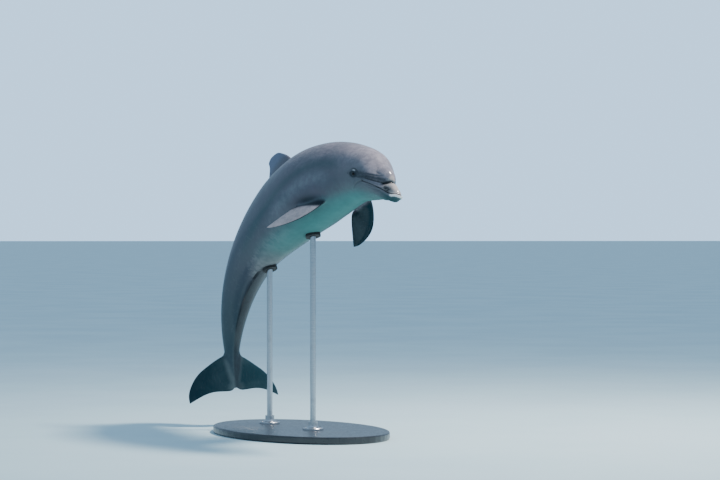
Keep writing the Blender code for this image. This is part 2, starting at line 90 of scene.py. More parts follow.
Socket = bpy.types.NodeSocket


# ---------------------------------------------------------------- curves
def softened(values: Array, reach: float) -> Array:
    """Evens out evenly spaced values with a bell-shaped window.

    Args:
        values: the samples.
        reach: the window's standard deviation, in samples.

    Returns:
        The evened samples, with both ends kept.
    """
    if reach < 0.5:
        return values
    half = int(4 * reach)
    window = np.exp(-0.5 * (np.arange(-half, half + 1) / reach) ** 2)
    ahead = 2 * values[0] - values[half:0:-1]
    behind = 2 * values[-1] - values[-2 : -half - 2 : -1]
    return np.convolve(np.r_[ahead, values, behind], window / window.sum(), mode="valid")


def smooth_line(rows: Rows, soften: float = 0.0, column: int = 1) -> Line:
    """A line through rows of (x, y ...) that never overshoots them, then evened out.

    Args:
        rows: the points, in order of x.
        soften: the standard deviation of the evening window, in the units of x.
        column: which column of the rows is y.

    Returns:
        y as a function of x.
    """
    table = np.array(rows, float)
    x, y = table[:, 0], table[:, column]
    step = np.diff(x)
    rise = np.diff(y) / step
    slope = np.zeros_like(x)
    slope[0], slope[-1] = rise[0], rise[-1]
    for i in range(1, len(x) - 1):
        if rise[i - 1] * rise[i] > 0:
            before = 2 * step[i] + step[i - 1]
            after = step[i] + 2 * step[i - 1]
            slope[i] = (before + after) / (before / rise[i - 1] + after / rise[i])
    fine = np.linspace(x[0], x[-1], 2001)
    i = np.clip(np.searchsorted(x, fine, side="right") - 1, 0, len(x) - 2)
    t = (fine - x[i]) / step[i]
    start = y[i] * (2 * t**3 - 3 * t**2 + 1) + step[i] * slope[i] * (t**3 - 2 * t**2 + t)
    end = y[i + 1] * (3 * t**2 - 2 * t**3) + step[i] * slope[i + 1] * (t**3 - t**2)
    samples = softened(start + end, soften / (fine[1] - fine[0]))
    return lambda q: np.interp(q, fine, samples)


def spline(x: Sequence[float], y: Rows) -> Line:
    """A natural cubic spline.

    Args:
        x: the knots.
        y: one row of values a knot.

    Returns:
        The rows as a function of x.
    """
    knots = np.asarray(x, float)
    values = np.asarray(y, float).reshape(len(knots), -1)
    step = np.diff(knots)
    matrix = np.eye(len(knots))
    side = np.zeros_like(values)
    rise = np.diff(values, axis=0) / step[:, None]
    for i in range(1, len(knots) - 1):
        matrix[i, i - 1 : i + 2] = (step[i - 1], 2 * (step[i - 1] + step[i]), step[i])
        side[i] = 6 * (rise[i] - rise[i - 1])
    bend = np.linalg.solve(matrix, side)

    def at(q: Array) -> Array:
        """The values at q.

        Returns:
            One row for each q.
        """
        q = np.atleast_1d(np.asarray(q, float))
        i = np.clip(np.searchsorted(knots, q, side="right") - 1, 0, len(knots) - 2)
        h = step[i][:, None]
        a, b = (knots[i + 1] - q)[:, None], (q - knots[i])[:, None]
        cubic = (bend[i] * a**3 + bend[i + 1] * b**3) / (6 * h)
        return cubic + (values[i] / h - bend[i] * h / 6) * a + (values[i + 1] / h - bend[i + 1] * h / 6) * b

    return at


def outline(points: Rows) -> Line:
    """A smooth curve through 2-D points, as a function of 0 to 1 along it."""
    table = np.array(points, float)
    along = np.r_[0, np.cumsum(np.linalg.norm(np.diff(table, axis=0), axis=1))]
    return spline(along / along[-1], table)


def ramp(values: Array, low: float | Array, high: float | Array) -> Array:
    """0 below low, 1 above high and a smooth step between."""
    t = np.clip((values - low) / (high - low), 0, 1)
    return t * t * (3 - 2 * t)


def between(values: Array, a: float | Array, b: float | Array, c: float | Array, d: float | Array) -> Array:
    """0 below a, 1 from b to c and 0 again past d, with smooth steps."""
    return ramp(values, a, b) * (1 - ramp(values, c, d))


def bell(values: Array, width: float | Array = 1.0) -> Array:
    """1 at zero, falling off over the width to both sides."""
    return np.exp(-((values / width) ** 2))


# ---------------------------------------------------------------- meshes
@dataclass
class Shape:
    """Points and faces of a mesh in the making."""

    points: Array
    faces: list[tuple[int, ...]]

    def to_mesh(self, name: str) -> Mesh:
        """A Blender mesh of the shape, shaded smooth.

        Args:
            name: the mesh's name.

        Returns:
            The mesh.
        """
        mesh = bpy.data.meshes.new(name)
        mesh.from_pydata(self.points.tolist(), [], self.faces)
        mesh.shade_smooth()
        mesh.update()
        return mesh


def loft(rings: Sequence[Array], first: Array | None, last: Array | None) -> Shape:
    """A closed surface through rings.

    Args:
        rings: rings of points; each has as many as the one before, or half as many.
        first: the pole before the first ring, or None for the ring's middle.
        last: the pole after the last ring, or None for the ring's middle.

    Returns:
        The shape, with its faces pointing out when the rings turn left about their way.
    """
    points = np.concatenate([*rings])
    starts = np.cumsum([0, *(len(ring) for ring in rings)])
    faces: list[tuple[int, ...]] = []
    for k, (one, two) in enumerate(zip(rings, rings[1:])):
        a, b, count = starts[k], starts[k + 1], len(two)
        i = np.arange(count)
        j = (i + 1) % count
        if len(one) == count:
            faces += np.stack([a + i, a + j, b + j, b + i], 1).tolist()
            continue
        p, q, r = a + 2 * i, a + 2 * i + 1, a + (2 * i + 2) % len(one)
        thirds = ((p, q, b + i), (q, r, b + j), (q, b + j, b + i))
        for corners in zip(*(np.stack(third, 1).tolist() for third in thirds)):
            faces += corners
    ends = ((rings[0], starts[0], first, False), (rings[-1], starts[-2], last, True))
    for ring, start, pole, at_last in ends:
        points = np.r_[points, [ring.mean(0) if pole is None else pole]]
        i = np.arange(len(ring))
        j = (i + 1) % len(ring)
        edge = (i, j) if at_last else (j, i)
        faces += np.stack([start + edge[0], start + edge[1], 0 * i + len(points) - 1], 1).tolist()
    return Shape(points, faces)


def read(items: bpy.types.bpy_prop_collection, name: str, width: int = 1, kind: type = float) -> Array:
    """One property of many items as an array.

    Args:
        items: the items, such as a mesh's vertices.
        name: the property.
        width: how many numbers the property has.
        kind: the type of the numbers.

    Returns:
        A row for each item, or a single number for each if the width is 1.
    """
    values = np.empty(len(items) * width, kind)
    items.foreach_get(name, values)
    return values.reshape(-1, width) if width > 1 else values


def write_layers(mesh: Mesh, layers: dict[str, Array]) -> None:
    """Adds point attributes to a mesh.

    Args:
        mesh: the mesh.
        layers: for each name a number or a vector at every point.
    """
    for name, values in layers.items():
        values = np.asarray(values, np.float32)
        kind, part = ("FLOAT_VECTOR", "vector") if values.ndim == 2 else ("FLOAT", "value")
        mesh.attributes.new(name, kind, "POINT").data.foreach_set(part, values.reshape(-1))


def facing_out(mesh: Mesh) -> None:
    """Turns a closed mesh's faces to point out if they point in."""
    mesh.calc_loop_triangles()
    tri = read(mesh.vertices, "co", 3)[read(mesh.loop_triangles, "vertices", 3, np.int32)]
    if np.einsum("ij,ij->i", tri[:, 0], np.cross(tri[:, 1], tri[:, 2])).sum() < 0:
        mesh.flip_normals()


def new_object(name: str, mesh: Mesh) -> bpy.types.Object:
    """An object of the mesh, linked to the scene."""
    item = bpy.data.objects.new(name, mesh)
    bpy.context.scene.collection.objects.link(item)
    return item


def evaluated_mesh(item: bpy.types.Object) -> Mesh:
    """A plain mesh of the object with its modifiers in it."""
    graph = bpy.context.evaluated_depsgraph_get()
    return bpy.data.meshes.new_from_object(item.evaluated_get(graph), depsgraph=graph)


# ---------------------------------------------------------------- the animal's shape
@dataclass(frozen=True)
class Posture:
    """How the spine is bent, and where the beak's tip is."""

    length: float = 2.5
    beak_tip: Triple = (1.04, 0.0, 1.36)
    pitch: Rows = ((0, -10), (12, -4.3), (28, 9.5), (45, 22), (62, 38.3), (80, 72.5), (100, 123.5))
    roll: float = math.radians(-15.3)
    tail_lean: float = math.radians(4.8)
    tail_lean_from: float = 45

    @property
    def percent(self) -> float:
        """One percent of the length, in metres."""
        return self.length / 100


class Spine:
    """The bent line that carries body coordinates into the world."""

    STEPS = 1000
    COARSE = 25
    BATCH = 20000

    def __init__(self, posture: Posture) -> None:
        """Bends the spine to the posture.

        Args:
            posture: how the spine is bent.
        """
        self.posture = posture
        self.stations = np.linspace(0, 100, self.STEPS + 1)
        knots, degrees = np.array(posture.pitch, float).T
        pitch = np.radians(spline(knots, degrees)(self.stations)[:, 0])
        part = (self.stations - posture.tail_lean_from) / (100 - posture.tail_lean_from)
        lean = posture.tail_lean * ramp(part, 0, 1)
        forward = np.stack([np.cos(pitch) * np.cos(lean), np.sin(lean), np.sin(pitch) * np.cos(lean)], 1)
        level = np.stack([-np.cos(pitch) * np.sin(lean), np.cos(lean), -np.sin(pitch) * np.sin(lean)], 1)
        left = level * math.cos(posture.roll) + np.cross(forward, level) * math.sin(posture.roll)
        up = np.cross(forward, left)
        position = np.zeros_like(forward)
        step = posture.length / self.STEPS
        position[1:] = -np.cumsum((forward[1:] + forward[:-1]) / 2 * step, axis=0)
        self.table = np.concatenate([position + posture.beak_tip, forward, left, up], axis=1)

    def frame_at(self, station: Array) -> list[Array]:
        """Position, forward, left and up of the spine at the stations."""
        found = [np.interp(station, self.stations, column) for column in self.table.T]
        return [np.stack(found[i : i + 3], -1) for i in (0, 3, 6, 9)]

    def to_world(self, points: Array, fixed_station: float | None = None) -> Array:
        """Body coordinates into world ones.

        Args:
            points: (station, left, up), in percent of the length.
            fixed_station: the station whose frame holds all the points, or None to follow the spine.

        Returns:
            The points in metres.
        """
        points = np.asarray(points, float)
        station = points[..., 0]
        held = np.clip(station, 0, 100) if fixed_station is None else np.full_like(station, fixed_station)
        position, forward, left, up = self.frame_at(held)
        percent = self.posture.percent
        position = position - forward * ((station - held) * percent)[..., None]
        return position + left * (points[..., 1:2] * percent) + up * (points[..., 2:3] * percent)

    def to_body(self, world: Array) -> Array:
        """World points into body coordinates.

        Args:
            world: the points in metres.

        Returns:
            (station, left, up) of the cross-section that holds each point.
        """
        percent = self.posture.percent
        coarse = self.table[:: self.COARSE, :3]
        station = np.empty(len(world))
        for first in range(0, len(world), self.BATCH):
            away = np.linalg.norm(world[first : first + self.BATCH, None] - coarse[None], axis=2)
            station[first : first + self.BATCH] = self.stations[:: self.COARSE][np.argmin(away, axis=1)]
        for _ in range(12):
            position, forward, _, _ = self.frame_at(station)
            ahead = ((world - position) * forward).sum(1) / percent
            station = np.clip(station - 0.7 * ahead, 0, 100)
        position, forward, left, up = self.frame_at(station)
        offset = (world - position) / percent
        past = (offset * forward).sum(1)
        return np.stack([station - past, (offset * left).sum(1), (offset * up).sum(1)], 1)


@dataclass(frozen=True)
class BodyForm:
    """The body without its fins, in percent of the length."""

    # station, top of the back, bottom of the belly, half width
    profile: Rows = (
        (0, -1.4, -3.65, 1.0), (1.5, -0.92, -3.77, 1.13), (3.4, 0.05, -3.69, 1.38), (5, 0.2, -3.8, 1.9),
        (7, 1.05, -3.6, 3.1), (9, 3.4, -3.65, 3.95), (11, 5.47, -3.85, 4.4), (13.5, 6.55, -4.3, 4.8),
        (16, 7.1, -4.9, 5.15), (20, 8.0, -6.05, 5.85), (28, 9.35, -7.75, 7.4), (36, 10.0, -8.55, 8.15),
        (46, 9.8, -8.75, 7.6), (55, 8.7, -8.0, 6.7), (70, 6.05, -5.25, 4.8), (85, 3.8, -2.7, 2.65),
        (93, 2.1, -1.7, 1.4), (100, 0.45, -0.45, 0.5),
    )
    keel: Rows = ((0, 0.46), (30, 0.5), (55, 0.52), (70, 0.62), (85, 0.71), (100, 0.6))
    tip_length: float = 1.25
    tip_rounding: float = 2.3
    tail_end: float = 98.9
    tail_end_length: float = 4.5
    melon_centre: tuple[float, float] = (9.65, 0.0)
    melon_size: Triple = (5.4, 2.82, 3.52)
    melon_blend: Rows = (
        (0, 0.12), (3, 0.14), (4.5, 0.3), (6, 0.8), (8, 1.6), (10, 2.2), (13, 2.8), (20, 3.0), (100, 3.0),
    )
    axis: Rows = ((0, -2.1), (1.3, -2.1), (4, -1.6), (8, -0.7), (12, 0.2), (20, 0.8), (60, 0.3), (100, 0))
    longest_ray: float = 14
    lines: dict[str, Line] = field(default_factory=dict)

    def __post_init__(self) -> None:
        """Draws the smooth lines through the rows once."""
        for column, name in ((1, "back"), (2, "belly"), (3, "width")):
            fine = smooth_line(self.profile, 0.25, column)
            broad = smooth_line(self.profile, 1.3, column)
            self.lines[name] = lambda q, a=fine, b=broad: a(q) + (b(q) - a(q)) * ramp(q, 9, 18)
        others = (("keel", self.keel, 3.0), ("blend", self.melon_blend, 0.2), ("axis", self.axis, 0.4))
        for name, rows, soften in others:
            self.lines[name] = smooth_line(rows, soften)

    def trunk(self, points: Array) -> Array:
        """How far points lie outside the trunk and beak, roughly.

        Args:
            points: body coordinates.

        Returns:
            The distances in percent of the length; inside is negative.
        """
        station, out, up = points[..., 0], points[..., 1], points[..., 2]
        s = np.clip(station, 0, 100)
        near_tip = np.clip(s / self.tip_length, 1e-4, 1)
        size = (1 - (1 - near_tip) ** self.tip_rounding) ** (1 / self.tip_rounding)
        near_end = np.clip((self.tail_end - s) / self.tail_end_length, 1e-4, 1)
        size = size * np.sqrt(1 - (1 - near_end) ** 2)
        back, belly = self.lines["back"](s), self.lines["belly"](s)
        half_height = (back - belly) / 2 * size
        half_width = self.lines["width"](s) * size
        height = (up - (back + belly) / 2) / half_height
        level = np.abs(out / half_width) ** (1 / self.lines["keel"](s)) + height**2
        return (np.sqrt(level) - 1) * np.minimum(half_width, half_height) + np.abs(station - s)

    def melon(self, points: Array) -> Array:
        """How far points lie outside the melon, the rounded forehead.

        Args:
            points: body coordinates.

        Returns:
            The distances in percent of the length.
        """
        centre, size = self.melon_centre, self.melon_size
        along = (np.clip(points[..., 0], 0, 100) - centre[0]) / size[0]
        height = (points[..., 2] - centre[1]) / size[2]
        return (np.sqrt(along**2 + (points[..., 1] / size[1]) ** 2 + height**2) - 1) * size[1]

    def outside(self, points: Array) -> Array:
        """How far points lie outside the skin.

        Args:
            points: body coordinates.

        Returns:
            The distances in percent of the length; inside is negative.
        """
        trunk, melon = self.trunk(points), self.melon(points)
        soft = self.lines["blend"](points[..., 0])
        mix = np.clip(0.5 + 0.5 * (melon - trunk) / soft, 0, 1)
        return trunk * mix + melon * (1 - mix) - soft * mix * (1 - mix)

    def cast(self, start: Array, direction: Array) -> Array:
        """Where rays leave the body.

        Args:
            start: body coordinates of the rays' starts, inside the body.
            direction: the rays' directions, one long.

        Returns:
            The points where the rays reach the skin.
        """
        low = np.zeros(start.shape[:-1])
        high = np.full(start.shape[:-1], float(self.longest_ray))
        found = np.zeros(start.shape[:-1], bool)
        steps = np.linspace(0, self.longest_ray, 29)
        for before, after in zip(steps, steps[1:]):
            leaves = (self.outside(start + direction * after) > 0) & ~found
            low = np.where(leaves, before, low)
            high = np.where(leaves, after, high)
            found |= leaves
        for _ in range(17):
            half = (low + high) / 2
            beyond = self.outside(start + direction * half[..., None]) > 0
            high = np.where(beyond, half, high)
            low = np.where(beyond, low, half)
        return start + direction * ((low + high) / 2)[..., None]


@dataclass(frozen=True)
class FinForm:
    """A fin as a row of wing sections between its leading and trailing edges, in percent."""

    lead: Rows
    trail: Rows
    thickness: tuple[float, float]
    flare: float
    spans: int = 56
    chord_points: int = 27
    edge: float = 0.04
    fillet: float = 0.75

    def section(self) -> tuple[Array, Array]:
        """Distance back along the chord, and half thickness there, for a section one long and thick."""
        x = (1 - np.cos(np.linspace(0, math.pi, self.chord_points))) / 2
        shape = 0.2969 * np.sqrt(x) - 0.1260 * x - 0.3516 * x**2 + 0.2843 * x**3 - 0.1015 * x**4
        return x, 5 * shape

    def rings(self, rise: Line) -> tuple[Array, Array]:
        """Rings (along, across, thick) of the fin and the point at its tip.

        Args:
            rise: how far points of the fin's middle plane lie outside the body.

        Returns:
            The rings from root to tip, and the tip.
        """
        x, half = self.section()
        lead, trail = outline(self.lead), outline(self.trail)
        edge = self.edge * ramp(x, 0, 0.25)
        rings = []
        for u in np.linspace(0, 1, self.spans + 1)[:-1] ** 0.85:
            front, rear = lead(u)[0], trail(u)[0]
            chord = np.linalg.norm(rear - front)
            line = front + (rear - front) * x[:, None]
            above = np.maximum(rise(np.c_[line, np.zeros(len(x))]), -0.6)
            root = self.flare * np.exp(-above / self.fillet) * np.sqrt(np.clip(4 * x * (1 - x), 0, 1))
            deep = half * chord * (self.thickness[0] + (self.thickness[1] - self.thickness[0]) * u)
            deep = deep + edge + root
            rings.append(np.r_[np.c_[line, deep], np.c_[line[::-1], -deep[::-1]][:-1]])
        return np.array(rings), np.r_[lead(1.0)[0], 0]


class Side(Enum):
    """A side of the body, as the sign of its way out."""

    LEFT = 1
    RIGHT = -1


@dataclass(frozen=True)
class FlipperPose:
    """Where a flipper is rooted and how it is held, in percent and degrees."""

    side: Side
    root: Triple
    swing: float
    droop: float
    twist: float
    along_scale: float
    across_scale: float

    def placer(self, spine: Spine, tip_angle: float) -> Line:
        """The function that lays the flat flipper out from its root.

        Args:
            spine: the bent spine.
            tip_angle: the angle at the root between the flat flipper's own axis and its tip.

        Returns:
            A function from flat flipper points to world points.
        """
        swing, droop, twist = (math.radians(angle) for angle in (self.swing, self.droop, self.twist))
        sign = self.side.value
        out = sign * math.sin(swing) * math.cos(droop)
        reach = Vector((-math.cos(swing) * math.cos(droop), out, -math.sin(droop)))
        upright = (Vector((0, 0, 1)) - reach * reach.z).normalized()
        aside = reach.cross(upright) * sign
        rearward = upright * math.cos(twist) + aside * math.sin(twist)
        along = reach * math.cos(tip_angle) - rearward * math.sin(tip_angle)
        across = rearward * math.cos(tip_angle) + reach * math.sin(tip_angle)
        axes = np.array([along * self.along_scale, across * self.across_scale, along.cross(across)])
        root = np.array((self.root[0], sign * self.root[1], self.root[2]))
        return lambda points: spine.to_world(points @ axes * (-1, 1, 1) + root, fixed_station=self.root[0])


@dataclass(frozen=True)
class FinSet:
    """All the fins and how they lie."""

    dorsal: FinForm = FinForm(
        lead=(
            (42.2, -1.4), (44.8, 1.0), (47.4, 4.0), (49.2, 6.1), (51.4, 8.4), (53.2, 10.1), (55.0, 11.0),
            (56.2, 11.15), (56.75, 10.5),
        ),
        trail=((60.2, -1.4), (58.4, 2.0), (57.2, 4.6), (56.6, 7.0), (56.4, 9.0), (56.75, 10.5)),
        thickness=(0.13, 0.09),
        flare=0.42,
    )
    fluke: FinForm = FinForm(
        lead=(
            (0, 90.5), (2.2, 91.9), (3.8, 92.8), (6, 94.1), (8.3, 95.5), (10.1, 97.2), (11.3, 99.2),
            (11.4, 100.8),
        ),
        trail=((0, 99.4), (0.9, 100.3), (2.3, 100.4), (4.1, 100.1), (6, 99.95), (9.7, 100.5), (11.4, 100.8)),
        thickness=(0.165, 0.11),
        flare=0.12,
        spans=44,
    )
    flipper: FinForm = FinForm(
        lead=((-3, 2), (0, 0), (2.5, -0.75), (6, -1.0), (9.5, -0.35), (12.5, 0.75), (14.8, 1.9), (16.2, 2.9)),
        trail=((-2.4, 6), (2, 4.6), (4.6, 4.1), (6.5, 4.6), (9, 4.6), (11.5, 4.1), (14, 3.5), (16.2, 2.9)),
        thickness=(0.15, 0.10),
        flare=0.34,
    )
    fluke_curl: float = 17
    poses: tuple[FlipperPose, ...] = (
        FlipperPose(Side.RIGHT, (22.6, 4.2, -6.1), 17.5, 20, -28.5, 0.99, 1.0),
        FlipperPose(Side.LEFT, (19.2, 5.96, -4.08), 23.9, 25.8, -49.1, 1.03, 1.12),
    )

    def shapes(self, spine: Spine, form: BodyForm) -> dict[str, Shape]:
        """Every fin as a closed shape in the world.

        Args:
            spine: the bent spine.
            form: the body that the fins grow from.

        Returns:
            The shapes by name.
        """

        def dorsal_body(points: Array) -> Array:
            """Flat dorsal-fin points into body coordinates."""
            above = form.lines["back"](points[..., 0]) + points[..., 1]
            return np.stack([points[..., 0], points[..., 2], above], -1)

        def fluke_body(points: Array, side: float) -> Array:
            """Flat fluke points into body coordinates, curled up toward their tips."""
            turn = points[..., 0] / self.fluke_curl
            radius = self.fluke_curl - points[..., 2]
            height = self.fluke_curl - radius * np.cos(turn)
            return np.stack([points[..., 1], side * radius * np.sin(turn), height], -1)

        rings, tip = self.dorsal.rings(lambda p: form.outside(dorsal_body(p)))
        found = {"dorsal": loft(spine.to_world(dorsal_body(rings)), None, spine.to_world(dorsal_body(tip)))}

        rings, tip = self.fluke.rings(lambda p: form.outside(fluke_body(p, 1)))
        right, left = (spine.to_world(fluke_body(rings, side)) for side in (-1, 1))
        tips = [spine.to_world(fluke_body(tip, side)) for side in (-1, 1)]
        found["flukes"] = loft(np.concatenate([right[::-1], left[1:]]), *tips)

        tip_angle = math.atan2(self.flipper.lead[-1][1], self.flipper.lead[-1][0])
        for pose in self.poses:
            place = pose.placer(spine, tip_angle)
            rings, tip = self.flipper.rings(lambda p, f=place: form.outside(spine.to_body(f(p))))
            found["flipper " + pose.side.name.lower()] = loft(place(rings), None, place(tip))
        return found


# ---------------------------------------------------------------- details of the head and belly
@dataclass(frozen=True)
class Swell:
    """A soft ridge of skin, or a furrow where its height is negative, in millimetres.

    It is highest at one distance across and one along, and falls off over its width and reach.
    """

    height: float
    across: float
    width: float
    along: float = 0.0
    reach: float = math.inf

    def at(self, across: Array, along: Array | float = 0.0) -> Array:
        """Its height at distances across it and along it."""
        return self.height * bell(across - self.across, self.width) * bell(along - self.along, self.reach)


@dataclass(frozen=True)
class MouthForm:
    """The mouth line, its lips and its corner."""

    line: Rows = ((-2, -1.98), (0, -2.0), (1.1, -2.28), (2.5, -2.22), (4.8, -1.8), (6.8, -1.45), (9.8, -1.15))
    corner: float = 9.5
    groove_depth: Rows = ((0, 7.5), (1.5, 6.5), (3.5, 4.0), (6, 3.2), (9.8, 3.0))
    groove_width: Rows = ((0, 2.3), (2, 2.0), (5, 1.5), (9.8, 1.5))
    lips: Swell = Swell(1.2, 5.0, 2.6)
    lower_lip: float = 7.5
    corner_dimple: Swell = Swell(-2.2, 0, 4.5)
    corner_swell: Swell = Swell(1.3, 7, 5.5, 0, 9)
    crease_depth: float = 5.0


@dataclass(frozen=True)
class EyeForm:
    """The eye opening, its lids and the ear's place, in millimetres about the eye's middle."""

    ahead: float = 1.7
    above: float = -2.2
    half_length: float = 13.8
    upper_height: float = 7.8
    lower_height: float = 7.0
    tilt: float = math.radians(4)
    cup_depth: float = 4.0
    ball_radius: float = 16.25
    ball_depth: float = 12.0
    lid_thickness: float = 0.9
    upper_lid_thickness: float = 0.7
    brow_bulge: Swell = Swell(2.4, 17, 6.5, 1, 27)
    brow_fold: Swell = Swell(-2.0, 29, 3.2, 2, 36)
    upper_fold: Swell = Swell(-0.9, 12.2, 1.8, 0, 16)
    lower_fold: Swell = Swell(-1.0, -14, 2.4, 0, 18)
    corners: Swell = Swell(-1.2, 14.5, 3, 0, 1.8)
    reach: tuple[float, float] = (44, 60)
    ear: tuple[float, float] = (-46, -3)
    ear_hole: Swell = Swell(-1.6, 0, 2.0)


@dataclass(frozen=True)
class FaceFold:
    """A fold of skin on the side of the head: a furrow with a ridge above it.

    The path gives station and height in percent; the depth, width and rise are in millimetres.
    """

    path: Rows
    depth: float
    width: float
    rise: float
    ends: float = 0.45

    def shape(self, p: Array, mm: float) -> tuple[Array, Array]:
        """How strongly the furrow and the ridge above it show at points of the head.

        Args:
            p: body coordinates.
            mm: millimetres in a percent of the length.

        Returns:
            The furrow and the ridge, each from 0 to 1.
        """
        rows = np.array(self.path, float)
        first, last = rows[0, 0], rows[-1, 0]
        off = (p[..., 2] - smooth_line(rows, 0.12)(p[..., 0])) * mm
        reach = between(p[..., 0], first - self.ends, first + self.ends, last - self.ends, last + self.ends)
        reach = reach * ramp(np.abs(p[..., 1]), 0.3, 0.9)
        return bell(off, self.width) * reach, bell(off - 2.4 * self.width, 1.8 * self.width) * reach


@dataclass(frozen=True)
class CheekForm:
    """The folds of the cheek and the curved fold on the melon's side."""

    folds: tuple[FaceFold, ...] = (
        FaceFold(((4.2, -0.17), (4.85, -0.45), (5.5, -0.56), (7.0, -0.62), (8.6, -0.5)), 3.4, 3.2, 1.4),
        FaceFold(((5.1, 0.28), (6.5, -0.12), (8.0, -0.1), (10.0, -0.43), (11.4, -0.6)), 1.6, 3.0, 1.0),
        FaceFold(((5.5, 0.78), (6.6, 0.62), (8.1, 0.4), (9.2, 0.36), (10.6, 0.3)), 1.2, 2.6, 0.9),
        FaceFold(((4.4, -1.62), (5.6, -1.72), (7.0, -1.72), (8.0, -1.62)), 1.3, 2.4, 1.5),
        FaceFold(((4.6, -2.3), (6.0, -2.25), (7.6, -2.2)), 0.8, 3.0, 0.7),
        FaceFold(((9.2, -1.2), (10.4, -1.5), (11.6, -2.1), (12.6, -2.9)), 1.4, 4.0, 0.9),
    )
    melon_arc: Rows = ((7.75, 2.3), (7.45, 1.85), (7.35, 1.5), (7.0, 1.2), (6.4, 1.0), (5.7, 0.98))
    arc_middle: tuple[float, float] = (6.45, 2.0)
    arc_depth: float = 1.2
    arc_rise: float = 0.4


@dataclass(frozen=True)
class BlowholeForm:
    """The crescent slit on top of the head, in millimetres about its middle."""

    station: float = 13.0
    half_width: float = 13.0
    sweep: float = 7.0
    slit: Swell = Swell(-5.0, 0, 1.9)
    rim: Swell = Swell(1.5, 5.5, 4.0)
    plug: Swell = Swell(1.6, 0, 8.5)
    hollow: Swell = Swell(-1.2, 0, 34)


@dataclass(frozen=True)
class BellyForm:
    """The navel, the genital slit and the anus, and the soft rolls of the neck."""

    navel_station: float = 48.5
    navel: Swell = Swell(-2.0, 0, 7)
    slit_ends: tuple[float, ...] = (64.6, 65.4, 68.3, 69.1)
    slit: Swell = Swell(-4.0, 0, 2.6)
    slit_lips: Swell = Swell(1.6, 9, 6)
    anus_station: float = 70.6
    anus: Swell = Swell(-3.0, 0, 4)
    # station, depth in millimetres and width in percent
    neck_rolls: Rows = ((19.6, 1.0, 0.5), (21.6, 0.7, 0.45), (17.2, 0.6, 0.4))
    flank: Swell = Swell(1.8, 1.2, 2.6)


